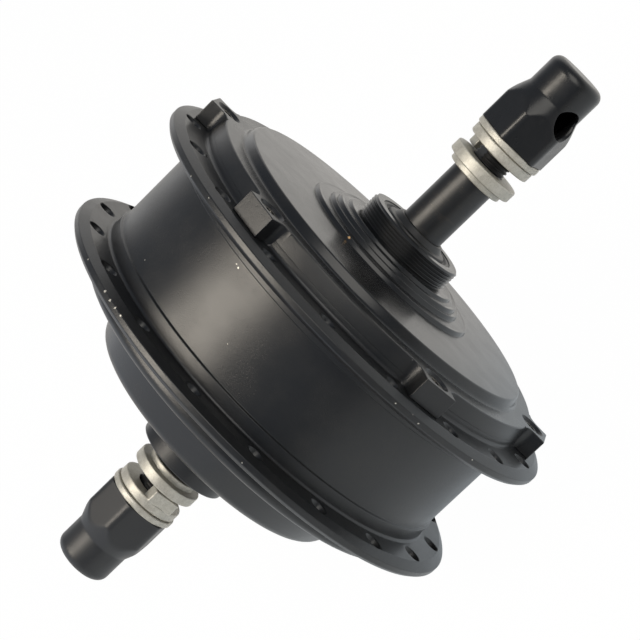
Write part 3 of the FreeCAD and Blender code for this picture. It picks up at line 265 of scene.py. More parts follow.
def slot_of(node):
    """The material slot that the record gives a node."""
    for part in frame["record"]["subparts"]:
        if part["node"] == node:
            return part["material_slot"]
    raise ValueError(f"no slot for {node}")


# Node helpers

class Value:
    """A node socket. Arithmetic on it adds Math nodes."""

    def __init__(self, nodes, socket):
        self.nodes = nodes
        self.socket = socket

    def beside(self, name):
        """Another output of the same node."""
        return Value(self.nodes, self.socket.node.outputs[name])

    def math(self, operation, *others, clamp=False):
        inputs = {0: self}
        for place, other in enumerate(others, start=1):
            inputs[place] = other
        settings = {"operation": operation, "use_clamp": clamp}
        return self.nodes.node("ShaderNodeMath", settings, inputs)

    def __add__(self, other):
        return self.math("ADD", other)

    __radd__ = __add__

    def __mul__(self, other):
        return self.math("MULTIPLY", other)

    __rmul__ = __mul__

    def __sub__(self, other):
        return self.math("SUBTRACT", other)

    def __rsub__(self, other):
        return (self * -1.0) + other

    def __truediv__(self, other):
        return self.math("DIVIDE", other)

    def between(self, low, high):
        """0 at low, 1 at high, and a smooth change from one to the other."""
        return self.nodes.node("ShaderNodeMapRange", {"interpolation_type": "SMOOTHSTEP"}, {
            "Value": self, "From Min": low, "From Max": high, "To Min": 0.0, "To Max": 1.0})


class Nodes:
    """A node tree that is written as expressions."""

    def __init__(self, tree):
        self.tree = tree

    def node(self, kind, settings=None, inputs=None, out=0):
        """Adds a node with its settings and inputs, and gives the output that is asked for."""
        node = self.tree.nodes.new(kind)
        for key, value in (settings or {}).items():
            if key == "stops":
                ramp = node.color_ramp.elements
                while len(ramp) < len(value):
                    ramp.new(1.0)
                for element, (position, colour) in zip(ramp, value):
                    element.position = position
                    element.color = (*colour, 1.0)
            else:
                setattr(node, key, value)
        for key, value in (inputs or {}).items():
            if isinstance(value, Value):
                self.tree.links.new(value.socket, node.inputs[key])
            else:
                node.inputs[key].default_value = value
        return None if out is None else Value(self, node.outputs[out])

    def mix(self, share, low, high):
        """Colour mix."""
        low = (*low, 1.0) if isinstance(low, tuple) else low
        high = (*high, 1.0) if isinstance(high, tuple) else high
        return self.node("ShaderNodeMix", {"data_type": "RGBA"}, {0: share, 6: low, 7: high}, out=2)

    def mix_surfaces(self, share, low, high):
        """Mix of two shaders."""
        return self.node("ShaderNodeMixShader", None, {0: share, 1: low, 2: high})


class Finish(Nodes):
    """A material of one principled shader."""

    def __init__(self, name):
        self.material = bpy.data.materials.new(name)
        self.material.use_nodes = True
        super().__init__(self.material.node_tree)
        self.shader = self.tree.nodes["Principled BSDF"]
        self.place = self.node("ShaderNodeTexCoord", out="Object")

    def noise(self, size, detail=3.0, rough=0.5, where=None):
        """Noise whose grain is about the given size in millimetres, from 0 to 1."""
        return self.node("ShaderNodeTexNoise", None, {
            "Vector": where or self.place, "Scale": 1.0 / (size * MM),
            "Detail": detail, "Roughness": rough})

    def stretched(self, scale):
        """Object coordinates, drawn out along each axis."""
        return self.node("ShaderNodeMapping", {"vector_type": "TEXTURE"}, {
            "Vector": self.place, "Scale": scale})

    def axis(self, name):
        """Place along one axis, in millimetres."""
        return self.node("ShaderNodeSeparateXYZ", None, {0: self.place}, out=name) / MM

    def radius(self):
        """Distance from the axle line, in millimetres."""
        across, up = self.axis("X"), self.axis("Z")
        return (across * across + up * up).math("SQRT")

    def turning(self, size):
        """Fine uneven rings round the axle line, as a cutter leaves them."""
        return self.node("ShaderNodeTexNoise", {"noise_dimensions": "1D"}, {
            "W": self.radius() / size, "Scale": 1.0, "Detail": 3.0, "Roughness": 0.6})

    def spot(self, centre, size, wobble):
        """1 within a small patch round a place in millimetres, with an uneven edge."""
        distance = self.node("ShaderNodeVectorMath", {"operation": "DISTANCE"}, {
            0: self.place, 1: tuple(c * MM for c in centre)}, out="Value") / MM
        return 1.0 - (distance + (wobble - 0.5) * (size * 2.4)).between(size * 0.7, size * 1.1)

    def any_of(self, masks):
        """The highest of several masks."""
        total = masks[0]
        for mask in masks[1:]:
            total = total.math("MAXIMUM", mask)
        return total

    def bump(self, height, distance, strength=1.0):
        """Relief of the surface, its distance in millimetres."""
        return self.node("ShaderNodeBump", None, {
            "Height": height, "Distance": distance * MM, "Strength": strength})

    def surface(self, colour, rough, metal=0.0, normal=None, fixed=None):
        """Gives the shader its inputs, each a value or a socket."""
        for key, value in (("Base Color", colour), ("Roughness", rough), ("Metallic", metal),
                           ("Normal", normal)):
            if value is None:
                continue
            if isinstance(value, Value):
                self.tree.links.new(value.socket, self.shader.inputs[key])
            else:
                value = (*value, 1.0) if isinstance(value, tuple) else value
                self.shader.inputs[key].default_value = value
        for key, value in (fixed or {}).items():
            self.shader.inputs[key].default_value = value
        return self.material


def on_surface(radius, along, degrees):
    """A place on a turned surface, with its angle measured from Z towards X."""
    angle = math.radians(degrees)
    return (radius * math.sin(angle), along, radius * math.cos(angle))


# Settings

class HubMotorSizes(bpy.types.PropertyGroup):
    """Sizes that a user might change, in millimetres."""

    flange_radius: FloatProperty(
        name="Flange radius", description="Outer radius of both spoke flanges",
        default=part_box("hub_shell")[1].x / MM, min=60.0, max=120.0)
    drum_radius: FloatProperty(
        name="Drum radius", description="Radius of the drum between the flanges",
        default=66.4, min=50.0, max=100.0)
    spoke_count: IntProperty(
        name="Spoke holes", description="Holes in each flange", default=18, min=12, max=24)
    thread_pitch: FloatProperty(
        name="Freewheel thread pitch", description="Distance between the crests of the large thread",
        default=25.4 / 24, min=0.5, max=2.0)
    axle_pitch: FloatProperty(
        name="Axle thread pitch", description="Distance between the crests of the axle's thread",
        default=1.25, min=0.5, max=2.0)
    nose_radius: FloatProperty(
        name="Cover nose radius", description="Radius of the nut covers' round nose",
        default=9.8, min=8.0, max=11.0)


class HubMotorFinish(bpy.types.PropertyGroup):
    """Colours of the visible pieces."""

    paint: FloatVectorProperty(
        name="Paint", description="Satin paint of the shell and cover",
        subtype="COLOR", size=3, default=(0.0100, 0.0110, 0.0128), min=0.0, max=1.0)
    zinc: FloatVectorProperty(
        name="Plating", description="Plating of the washers and nuts",
        subtype="COLOR", size=3, default=(0.53, 0.52, 0.475), min=0.0, max=1.0)
    plastic: FloatVectorProperty(
        name="Cover plastic", description="Moulded plastic of the nut covers",
        subtype="COLOR", size=3, default=(0.0075, 0.008, 0.009), min=0.0, max=1.0)
    blackened: FloatVectorProperty(
        name="Blackened steel", description="Blackened steel of the axle",
        subtype="COLOR", size=3, default=(0.010, 0.0102, 0.011), min=0.0, max=1.0)


class HubMotorStage(bpy.types.PropertyGroup):
    """Light and camera."""

    key: FloatProperty(
        name="Key light", description="Power of the large lamp", default=14.5, min=0.0, unit="POWER")
    side: FloatProperty(
        name="Side light", description="Power of the wide lamp beside the drive end",
        default=7.4, min=0.0, unit="POWER")
    fill: FloatProperty(
        name="Fill light", description="Strength of the even light from all round", default=0.12, min=0.0)
    lens: FloatProperty(
        name="Lens", description="Focal length of the camera", default=130.25, min=20.0, unit="CAMERA")


def sizes():
    return bpy.context.scene.hub_motor_sizes


def colours():
    return bpy.context.scene.hub_motor_finish


# Finishes

def chip_places():
    """Where the paint is chipped or dusty: place in millimetres and size."""
    drum, rim = sizes().drum_radius, sizes().flange_radius
    return [
        (on_surface(drum, 7.7, 33.7), 0.20), (on_surface(drum, 7.4, 34.8), 0.27),
        (on_surface(drum, -14.6, 11.7), 0.16), (on_surface(drum, -9.0, 47.0), 0.12),
        (on_surface(rim, 14.7, 13.8), 0.24), (on_surface(rim, 15.7, 22.2), 0.20),
        (on_surface(rim, -25.3, 20.1), 0.42), (on_surface(rim, -25.5, 22.9), 0.40),
        (on_surface(rim, -25.4, 25.3), 0.34), (on_surface(rim, -25.3, 27.8), 0.36),
        (on_surface(rim, -25.4, 8.7), 0.22), (on_surface(rim, -26.5, 68.6), 0.22),
        (on_surface(rim, 15.6, 82.0), 0.24), (on_surface(rim, 16.4, 86.6), 0.20),
        (on_surface(rim, 15.3, 89.0), 0.24), (on_surface(rim, 17.2, 101.6), 0.20),
        (on_surface(rim, 16.0, 106.6), 0.22), (on_surface(rim, 13.8, 103.8), 0.20),
    ]


def cover_chip_places():
    """The same for the drive side cover."""
    return [
        (on_surface(65.8, 20.7, 46.1), 0.16), (on_surface(65.8, 20.8, 86.2), 0.18),
        (on_surface(62.4, 25.5, 78.6), 0.16), (on_surface(65.8, 19.6, 104.7), 0.18),
    ]


def satin_paint(name, chip_list, cover=False):
    """Black satin paint with a fine orange peel, cloudy sheen, dust and a few chips."""
    f = Finish(name)
    peel = f.noise(0.85, 2.0, 0.55)
    grain = f.noise(0.3, 2.0, 0.5)
    cloud = f.noise(11.0, 4.0, 0.6)
    chips = f.any_of([f.spot(place, size, grain) for place, size in chip_list])
    dots = f.noise(0.42, 1.0, 0.5).between(0.58, 0.68) * cloud.between(0.42, 0.60)
    dust = f.noise(0.22, 1.0, 0.5).between(0.76, 0.80) * 0.3
    colour = f.mix(cloud.between(0.3, 0.75), tuple(colours().paint), (0.0140, 0.0145, 0.0155))
    colour = f.mix(dust, colour, (0.10, 0.097, 0.088))
    height = peel * 0.45 + grain * 0.3 - dots * 0.35
    if cover:
        flat = f.axis("Y").between(25.0, 26.0)
        waves = f.noise(9.0, 1.0, 0.4) * 2.4 + f.turning(1.1) * 0.25
        height = height * (1.0 - flat * 0.97) + waves * flat
        fleck = f.spot(on_surface(31.7, 30.5, 35.6), 0.42, grain)
        colour = f.mix(fleck, colour, (0.78, 0.50, 0.24))
    colour = f.mix(chips, colour, (0.60, 0.585, 0.54))
    rough = cloud * 0.12 + grain * 0.06 + peel * 0.06 + 0.225
    if cover:
        rough = rough - flat * 0.11
    return f.surface(colour, rough, chips * 0.5, f.bump(height, 0.07, 0.6))


def blackened_steel():
    """Turned and blackened steel of the axle, with brighter marks where it was handled."""
    f = Finish("blackened_steel")
    marks = f.noise(0.9, 3.0, 0.6, f.stretched((7.0, 0.35, 7.0)))
    cloud = f.noise(3.5, 4.0, 0.6)
    flecks = f.noise(0.5, 2.0, 0.6, f.stretched((0.6, 2.6, 0.6))).between(0.70, 0.78)
    rubbed = (cloud * marks).between(0.26, 0.40)
    colour = f.mix(rubbed * 0.25, tuple(colours().blackened), (0.06, 0.053, 0.042))
    colour = f.mix(flecks * rubbed, colour, (0.40, 0.37, 0.33))
    rough = 0.23 + marks * 0.14 + cloud * 0.10
    return f.surface(colour, rough, rubbed * 0.04, f.bump(marks + cloud * 0.6, 0.03, 0.5))


def rough_zinc():
    """Dull zinc plate on tumbled steel washers, with pits, hammered grain and grey stains."""
    f = Finish("rough_zinc")
    cloud = f.noise(1.6, 5.0, 0.7)
    fine = f.noise(0.35, 4.0, 0.65)
    strokes = f.noise(0.4, 3.0, 0.65, f.stretched((1.0, 3.0, 1.0)))
    pits = fine.between(0.60, 0.68)
    colour = f.mix(cloud.between(0.40, 0.60), (0.46, 0.45, 0.405), tuple(colours().zinc))
    colour = f.mix(strokes.between(0.54, 0.64) * 0.5, colour, (0.36, 0.35, 0.31))
    colour = f.mix(pits * 0.6, colour, (0.22, 0.21, 0.18))
    rough = 0.34 + cloud * 0.2
    height = fine * 0.6 + strokes * 0.8 - pits * 0.4
    return f.surface(colour, rough, 0.45, f.bump(height, 0.09, 0.7))


def cover_plastic(name, painted_light_gain, gloss):
    """Black moulded plastic with a soft sheen and slight handling marks. Its colour is multiplied by a gain
    that paints extra light on the plastic; a gain of 1 leaves it as it is.
    """
    f = Finish(name)
    cloud = f.noise(5.0, 3.0, 0.5)
    grain = f.noise(0.4, 2.0, 0.5)
    scuffs = f.noise(0.7, 3.0, 0.65, f.stretched((1.0, 5.0, 1.0))).between(0.66, 0.74)
    # The base colour times the gain: a gain above 1 is painted light, a lighter copy of the same plastic.
    base = tuple(c * painted_light_gain for c in colours().plastic)
    colour = f.mix(scuffs * 0.4, base, (0.04, 0.039, 0.036))
    rough = gloss + cloud * 0.14 + scuffs * 0.12
    return f.surface(colour, rough, 0.0, f.bump(grain * 0.4 + cloud * 1.6, 0.06, 0.45))


def seal_rubber():
    """Dark rubber with a fine grain."""
    f = Finish("seal_rubber")
    grain = f.noise(0.3, 3.0, 0.6)
    cloud = f.noise(3.0, 3.0, 0.5)
    colour = f.mix(cloud, (0.010, 0.010, 0.011), (0.020, 0.020, 0.019))
    return f.surface(colour, 0.32 + grain * 0.16, 0.0, f.bump(grain, 0.03, 0.4))


def oiled_screw():
    """Dark steel of the screws, worn bright in places."""
    f = Finish("oiled_screw")
    cloud = f.noise(0.9, 4.0, 0.6)
    colour = f.mix(cloud.between(0.4, 0.7), (0.035, 0.033, 0.03), (0.20, 0.185, 0.16))
    return f.surface(colour, 0.26 + cloud * 0.2, 0.9, f.bump(cloud, 0.03, 0.5))


def machined(name, low, high, rough, metal, grain_size=0.6):
    """A finish for the pieces inside: two tones with a fine grain."""
    f = Finish(name)
    grain = f.noise(grain_size, 4.0, 0.55)
    cloud = f.noise(grain_size * 8, 3.0, 0.5)
    colour = f.mix(cloud * 0.7 + grain * 0.3, low, high)
    return f.surface(colour, grain * 0.18 + rough, metal, f.bump(grain, 0.02, 0.4))


def wound_copper():
    """Enamelled wire: fine ridges that run round each coil."""
    f = Finish("wound_copper")
    along = f.axis("Y")
    strands = (along * (2 * math.pi / 0.8)).math("SINE") * 0.5 + 0.5
    cloud = f.noise(4.0, 3.0, 0.5)
    colour = f.mix(cloud, (0.45, 0.16, 0.06), (0.62, 0.27, 0.11))
    return f.surface(colour, 0.30 + cloud * 0.12, 0.85, f.bump(strands, 0.12, 0.7))


def stacked_sheet():
    """Cut edges of stacked electrical sheet."""
    f = Finish("stacked_sheet")
    along = f.axis("Y")
    edges = (along * (2 * math.pi / 0.5)).math("SINE") * 0.5 + 0.5
    cloud = f.noise(3.0, 4.0, 0.6)
    colour = f.mix(cloud, (0.16, 0.17, 0.19), (0.26, 0.27, 0.29))
    return f.surface(colour, 0.38 + cloud * 0.15, 0.9, f.bump(edges, 0.05, 0.5))


# Pieces seen from outside

def spoke_drill(face, spoke_radius, hole, mouth):
    """A tool for a spoke hole with a sunk mouth at one face, standing at the first place."""
    corners = [(0, -8.0), (hole, -8.0), (hole, -2.1), (mouth - 0.2, -0.3), (mouth, 0.0),
               (mouth + 0.2, 0.2), (0, 0.2)]
    mesh = turned([Vector((radius, face + depth)) for radius, depth in corners], 28, closed=False)
    mesh.transform(Matrix.Translation((0, 0, spoke_radius * MM)))
    return loose("spoke_drill", mesh)


class HUBMOTOR_OT_shell(bpy.types.Operator):
    """Build the drum with its two spoke flanges, shoulder and left boss"""
    bl_idname = "hubmotor.shell"
    bl_label = "Hub shell"

    def execute(self, context):
        rim = sizes().flange_radius
        drum = sizes().drum_radius
        left_back, left_face = -28.1, LEFT_FLANGE_FACE
        drive_back, drive_face = 13.3, DRIVE_FLANGE_FACE
        back_chamfer, face_chamfer, dish = 1.2, 1.7, 3.2
        boss_end, end_wall, step_face = -62.4, -49.9, -34.9
        bore = 61.5
        left_end = [
            (14.0, boss_end, 0.2), (16.1, boss_end, 0.7), (17.3, end_wall, 0.9), (39.6, end_wall, 6.0),
            (46.3, -48.5, 5.0), (48.9, -43.2, 7.0), (53.3, step_face, 0.9), (66.2, step_face, 2.8),
            (66.2, left_back, 0.5),
        ]
        left_flange = [
            (rim - back_chamfer, left_back, 0.8), (rim, left_back + back_chamfer, 0.8),
            (rim, left_face - face_chamfer, 0.45), (rim - dish, left_face, 0.8), (67.1, left_face, 1.0),
        ]
        barrel = [
            (67.1, -18.6, 0.3), (drum, -18.2, 0.3), (drum, 9.3, 0.1), (drum + 0.25, 9.55, 0.1),
            (67.0, drive_back, 0.9),
        ]
        drive_flange = [
            (rim - back_chamfer, drive_back, 0.8), (rim, drive_back + back_chamfer, 0.8),
            (rim, drive_face - face_chamfer, 0.45), (rim - dish, drive_face, 0.8), (bore, drive_face, 0.1),
        ]
        inside = [
            (bore, -32.5, 0.5), (44.5, -32.5, 0.3), (43.5, -44.5, 1.0), (12.0, -44.5, 0.1),
            (12.0, -52.5, 0.1), (14.0, -52.5, 0.1),
        ]
        points = rounded(left_end + left_flange + barrel + drive_flange + inside, True, 5)
        shell = loose("hub_shell_body", turned(points, 192))
        for face, turn in ((drive_face, 0.0), (left_face, 10.0)):
            drill = spoke_drill(face, SPOKE_CIRCLE, hole=1.5, mouth=3.15)
            repeat_round(drill, sizes().spoke_count, turn)
            combine(shell, drill, "DIFFERENCE")
        even_shading(shell)
        seat(shell, "painted_shell", satin_paint("shell_paint", chip_places()), "hub", "hub_shell")
        return {"FINISHED"}


def thread_shape(pitch, depth, low, high, crest, hand=1.0):
    """Radius change of a thread between two places on Y, faded at both ends."""
    def shape(radius, along, angle):
        if radius < crest - depth - 0.3 or not low <= along <= high:
            return radius
        turn = (along / pitch - hand * angle / (2 * math.pi)) % 1.0
        ridge = abs(turn * 2 - 1)
        cut = min(max(1.15 - 1.3 * ridge, 0.0), 1.0)
        fade = min((along - low) / (0.4 * pitch), (high - along) / (0.4 * pitch), 1.0)
        return radius - depth * cut * max(fade, 0.0)
    return shape


def lug_outline():
    """One screw lug of the cover, its sides swept into the wall by an arc."""
    half, flare, wall, reach = 6.0, 3.4, 65.0, 72.3
    side = [(61.5, half + flare)]
    for step in range(8):
        angle = math.radians(90 - 90 * step / 7)
        side.append((wall + flare - flare * math.sin(angle), half + flare - flare * math.cos(angle)))
    side.append((reach, half))
    return side + [(x, -z) for x, z in reversed(side)]


class HUBMOTOR_OT_cover(bpy.types.Operator):
    """Build the drive side cover with its lugs, ridges and freewheel thread"""
    bl_idname = "hubmotor.cover"
    bl_label = "Drive side cover"

    def execute(self, context):
        seat_face, crest = DRIVE_FLANGE_FACE, 17.4
        wall = [
            (68.6, seat_face, 0), (66.25, seat_face + 0.02, 1.2), (66.15, 20.5, 0), (65.95, 20.55, 0),
            (65.95, 20.65, 0), (66.1, 20.7, 0), (65.3, LUG_TOP, 0.7),
        ]
        plateau = [(58.3, LUG_TOP, 1.6), (57.0, 28.8, 0.9), (32.2, 29.6, 0.2)]
        ridges = [
            (31.6, 30.9, 0.4), (30.4, 30.8, 0.6), (27.0, 30.9, 0.3), (26.5, 32.4, 0.35), (25.1, 32.2, 0.2),
            (24.6, 33.6, 0.35), (23.2, 33.3, 0.4), (21.7, 33.5, 0.2), (21.2, 34.5, 0.35), (18.4, 34.2, 0.3),
        ]
        boss = [
            (16.5, 34.2, 0.1), (16.6, 34.7, 0.1), (crest, 34.9, 0.1), (crest, 40.6, 0.0),
            (16.8, 41.2, 0.2), (14.0, 41.2, 0.25), (14.0, 31.5, 0), (11.6, 31.5, 0),
        ]
        inside = [
            (11.6, 27.6, 0), (53.0, 25.8, 0), (53.0, 22.0, 0), (58.05, 22.0, 0), (58.05, 16.0, 0),
            (61.45, 16.0, 0), (61.45, seat_face, 0),
        ]
        pitch = sizes().thread_pitch
        outline = rounded(wall + plateau + ridges + boss + inside, True, 4)
        points = spread(outline, pitch / 10, 34.8, 40.7)
        cover = loose("cover_body", turned(
            points, 216, shape=thread_shape(pitch, 0.66, 34.7, 41.0, crest)))
        lug = loose("lug", bar(lug_outline(), seat_face, LUG_TOP))
        soft_edges(lug, 0.3)
        repeat_round(lug, SCREW_COUNT, -60.0)
        combine(cover, lug, "UNION")
        sink = loose("screw_sink", turned([Vector(p) for p in (
            (0, 17.0), (2.15, 17.0), (2.15, 23.1), (4.5, 25.45), (4.75, 25.8), (0, 25.8),
        )], 36, closed=False))
        sink.data.transform(Matrix.Translation((SCREW_CIRCLE * MM, 0, 0)))
        repeat_round(sink, SCREW_COUNT, 0.0)
        combine(cover, sink, "DIFFERENCE")
        even_shading(cover)
        finish = satin_paint("cover_paint", cover_chip_places(), cover=True)
        seat(cover, "painted_cover", finish, "hub", "drive_cover")
        return {"FINISHED"}


class HUBMOTOR_OT_cover_screws(bpy.types.Operator):
    """Build the six countersunk socket screws in the lugs"""
    bl_idname = "hubmotor.cover_screws"
    bl_label = "Cover screws"

    def execute(self, context):
        points = rounded([(0, 14.3, 0), (2.0, 14.3, 0.2), (2.0, 22.95, 0), (3.7, 24.65, 0.25),
                          (1.9, 24.75, 0.1), (0, 24.75, 0)], False, 3)
        screw = loose("screw_body", turned(points, 36, closed=False))
        screw.data.transform(Matrix.Translation((SCREW_CIRCLE * MM, 0, 0)))
        socket = 1.45
        hexagon = [(SCREW_CIRCLE + socket * math.sin(math.pi * i / 3), socket * math.cos(math.pi * i / 3))
                   for i in range(6)]
        combine(screw, loose("socket", bar(hexagon, 22.8, 26.0)), "DIFFERENCE")
        finish = oiled_screw()
        repeat_round(screw, SCREW_COUNT, 0.0, finish)
        even_shading(screw)
        seat(screw, "socket_screws", finish, "hub", "cover_screws")
        return {"FINISHED"}


class HUBMOTOR_OT_seals(bpy.types.Operator):
    """Build the two shaft seals"""
    bl_idname = "hubmotor.seals"
    bl_label = "Seals"

    def execute(self, context):
        finish = seal_rubber()
        lip = SHAFT + 0.06
        drive = rounded([
            (lip, 38.5, 0), (14.0, 38.5, 0), (14.0, 40.9, 0.2), (12.8, 40.9, 0.2), (12.5, 40.2, 0.2),
            (11.7, 40.2, 0.2), (11.3, 41.2, 0.3), (9.7, 41.4, 0.3), (8.5, 43.2, 0.3), (lip, 43.3, 0.1),
        ], True, 3)
        seat(even_shading(loose("seal", turned(drive, 120))), "drive_shaft_seal", finish, "hub", "drive_seal")
        left = rounded([
            (lip, -62.1, 0.2), (8.8, -62.1, 0.2), (8.8, -61.3, 0.1), (12.8, -61.3, 0.1),
            (12.8, -62.1, 0.2), (14.0, -62.1, 0.1), (14.0, -59.7, 0), (lip, -59.7, 0),
        ], True, 3)
        seat(even_shading(loose("seal", turned(left, 120))), "left_shaft_seal", finish, "hub", "left_seal")
        return {"FINISHED"}


class HUBMOTOR_OT_axle(bpy.types.Operator):
    """Build the axle with its threaded, flatted ends"""
    bl_idname = "hubmotor.axle"
    bl_label = "Axle"

    def execute(self, context):
        corners = [
            (0, -93.0, 0), (5.2, -93.0, 0.1), (THREAD, -92.2, 0.0), (THREAD, -SHOULDER, 0.0),
            (SHAFT, -SHOULDER, 0.4), (SHAFT, -52.5, 0), (9.2, -52.5, 0.1), (9.2, -50.0, 0.1),
            (SHAFT, -50.0, 0), (SHAFT, -28.5, 0), (9.6, -28.5, 0.1), (9.6, -26.0, 0.1), (SHAFT, -26.0, 0),
            (SHAFT, SHOULDER, 0.4), (THREAD, SHOULDER, 0.0), (THREAD, 92.2, 0.0), (5.2, 93.0, 0.1),
            (3.2, 93.0, 0.1), (3.2, -35.0, 0), (0, -36.8, 0),
        ]
        pitch = sizes().axle_pitch
        points = rounded(corners, False, 3)
        points = spread(points, pitch / 8, -92.3, -65.1)
        points = spread(points, pitch / 8, 65.1, 92.3)
        ridge = thread_shape(pitch, 0.62, 65.6, 92.2, THREAD)
        flat = 5.0

        def shape(radius, along, angle):
            if radius < flat or abs(along) < SHOULDER + 0.1:
                return radius
            end = math.copysign(1.0, along)
            radius = ridge(radius, abs(along), end * angle)
            return min(radius, flat / max(abs(math.cos(angle)), 0.5))

        axle = loose("axle_body", turned(points, 144, closed=False, shape=shape))
        mouth = loose("cable_mouth", bar([(0, 2.4), (9, 2.4), (9, -2.4), (0, -2.4)], -37.0, -30.6))
        combine(axle, mouth, "DIFFERENCE")
        even_shading(axle)
        seat(axle, "blackened_axle", blackened_steel(), "axle", "axle")
        return {"FINISHED"}


class HUBMOTOR_OT_washers(bpy.types.Operator):
    """Build the spacer washers, the tab washers and the nuts' flanges"""
    bl_idname = "hubmotor.washers"
    bl_label = "Washers and nuts"

    def execute(self, context):
        finish = rough_zinc()
        for name, side, tab in (("drive", 1, -1), ("left", -1, 1)):
            neck, step = (9.8, 67.2) if side > 0 else (9.0, 67.3)
            spacer = [(BORE, SHOULDER, 0.2), (neck, SHOULDER, 0.4), (neck, step, 0.3), (11.9, step, 0.45),
                      (11.9, 71.0, 0.5), (BORE, 71.0, 0.2)]
            self.ring(f"{name}_spacer", spacer, side, finish, f"{name}_spacer_washer")
            collar = [(BORE, 75.4, 0.2), (11.4, 75.4, 0.5), (11.4, NUT_SEAT, 0.6), (BORE, NUT_SEAT, 0.2)]
            low, high = (6.4, 11.2) if tab > 0 else (-11.2, -6.4)
            tongue = loose("tab", bar(
                [(low, -4.8), (high, -4.8), (high, 4.8), (low, 4.8)], *sorted((71.4 * side, 76.0 * side))))
            soft_edges(tongue, 0.5)
            self.ring(f"{name}_tab_ring", collar, side, finish, f"{name}_tab_washer", tongue)
            nut = [(THREAD, NUT_SEAT, 0.2), (12.0, NUT_SEAT + 0.1, 0.45), (12.0, NUT_FLANGE_END, 0.5),
                   (9.6, NUT_FLANGE_END, 0.2), (9.6, 90.5, 0.8), (THREAD, 90.5, 0.3)]
            self.ring(f"{name}_nut", nut, side, finish, f"{name}_axle_nut")
        return {"FINISHED"}

    def ring(self, name, corners, side, finish, node, extra=None):
        """Turns one washer or nut on either side of the hub, with a tab where it has one."""
        corners = [(radius, along * side, rounding) for radius, along, rounding in corners]
        made = loose(name, turned(rounded(corners, True, 4), 120))
        if extra is not None:
            combine(made, extra, "UNION")
        even_shading(made)
        seat(made, f"{name}_piece", finish, "axle", node)


def nut_cover_mesh(side, corner_degrees):
    """Hexagon run off by a cone into a round nose, hollow inside."""
    nose = sizes().nose_radius
    base, hex_end, cone_end, end = NUT_FLANGE_END, 91.6, 98.4, COVER_END
    apothem, corner = 11.2, 12.5
    blunt = 0.45  # depth over which the hexagon's edges are rounded off
    inner_apothem, inner_corner, nose_bore, nut_room = 9.65, 11.0, 7.8, 91.0
    outer = rounded([
        (corner, base, 0), (corner, hex_end - 0.2, 1.6), (nose, cone_end, 2.2), (nose, end, 3.0),
        (0, end, 0)], False, 10)
    inner = [Vector(p) for p in (
        (0, end - 2.0), (nose_bore, end - 2.0), (nose_bore, nut_room), (inner_corner, nut_room),
        (inner_corner, base))]
    points = spread(outer, 0.35, base, end - 0.1) + inner
    turn = math.radians(corner_degrees)

    def shape(radius, along, angle):
        if radius < 9.0 or along > cone_end + 2.5:
            return radius
        across = (angle - turn) % (math.pi / 3) - math.pi / 6
        if radius < inner_corner + 0.1 and along < nut_room + 0.1:
            return min(inner_apothem / math.cos(across), radius)
        flat = apothem / math.cos(across)
        share = max(blunt - abs(flat - radius), 0.0) / blunt
        return min(flat, radius) - share * share * blunt / 4

    points = [Vector((p.x, p.y * side)) for p in points]
    return turned(points, 360, closed=True, shape=lambda r, y, a: shape(r, abs(y), a), first=turn)


class HUBMOTOR_OT_nut_covers(bpy.types.Operator):
    """Build the two moulded nut covers"""
    bl_idname = "hubmotor.nut_covers"
    bl_label = "Nut covers"

    def execute(self, context):
        cable_radius, cable_place, cable_degrees = 4.8, 96.4, 110
        # The left cover's plastic is 2.6 times lighter than the drive cover's: painted light for the brighter
        # light that falls on the left end.
        for name, side, corner, painted_light_gain, rough in (
                ("drive", 1, 45.5, 1.0, 0.22), ("left", -1, 54.5, 2.6, 0.34)):
            finish = cover_plastic(f"{name}_cover_plastic", painted_light_gain, rough)
            cover = loose("cover", nut_cover_mesh(side, corner))
            if side > 0:
                drill = loose("cable_drill", turned([Vector(p) for p in (
                    (0, 2.0), (cable_radius, 2.0), (cable_radius, 16.0), (0, 16.0))], 64, closed=False))
                place = (Matrix.Translation((0, cable_place * MM, 0))
                         @ Matrix.Rotation(math.radians(cable_degrees), 4, "Y"))
                drill.data.transform(place @ Matrix.Rotation(math.radians(90), 4, "X"))
                combine(cover, drill, "DIFFERENCE")
            seat(cover, f"{name}_moulded_cover", finish, f"{name}_nut_cover", f"{name}_nut_cover")
        return {"FINISHED"}


class HUBMOTOR_OT_inner_parts(bpy.types.Operator):
    """Give the motor, gears, clutch and bearings inside their finishes"""
    bl_idname = "hubmotor.inner_parts"
    bl_label = "Inner parts"

    def execute(self, context):
        made = {
            "bare_steel": machined("turned_steel", (0.36, 0.36, 0.37), (0.55, 0.55, 0.56), 0.26, 1.0),
            "zinc_steel": rough_zinc(),
            "bearing_steel": machined("ground_steel", (0.50, 0.50, 0.52), (0.66, 0.66, 0.68), 0.14, 1.0),
            "cast_alloy": machined("cast_alloy", (0.38, 0.39, 0.40), (0.52, 0.53, 0.54), 0.42, 0.9, 1.2),
            "lamination_steel": stacked_sheet(),
            "insulator_plastic": machined("end_plate", (0.62, 0.58, 0.46), (0.72, 0.68, 0.56), 0.42, 0.0),
            "copper": wound_copper(),
            "circuit_board": machined("board", (0.010, 0.085, 0.03), (0.02, 0.14, 0.05), 0.30, 0.0),
            "rotor_steel": machined("drawn_steel", (0.26, 0.27, 0.28), (0.38, 0.39, 0.41), 0.30, 1.0),
            "magnet": machined("nickel_plate", (0.48, 0.47, 0.45), (0.60, 0.59, 0.56), 0.20, 1.0),
            "gear_steel": machined("hardened_steel", (0.15, 0.15, 0.16), (0.28, 0.27, 0.26), 0.28, 1.0),
            "gear_nylon": machined("natural_nylon", (0.74, 0.70, 0.58), (0.84, 0.80, 0.70), 0.38, 0.0),
            "bush_bronze": machined("sintered_bronze", (0.36, 0.22, 0.09), (0.50, 0.33, 0.15), 0.36, 0.9),
        }
        for name, node in frame["nodes"].items():
            finish = made.get(slot_of(name))
            if finish is None or node.hide_render:
                continue
            if not node.material_slots:
                node.data.materials.append(finish)
            for slot in node.material_slots:
                slot.material = finish
        return {"FINISHED"}


# Stage

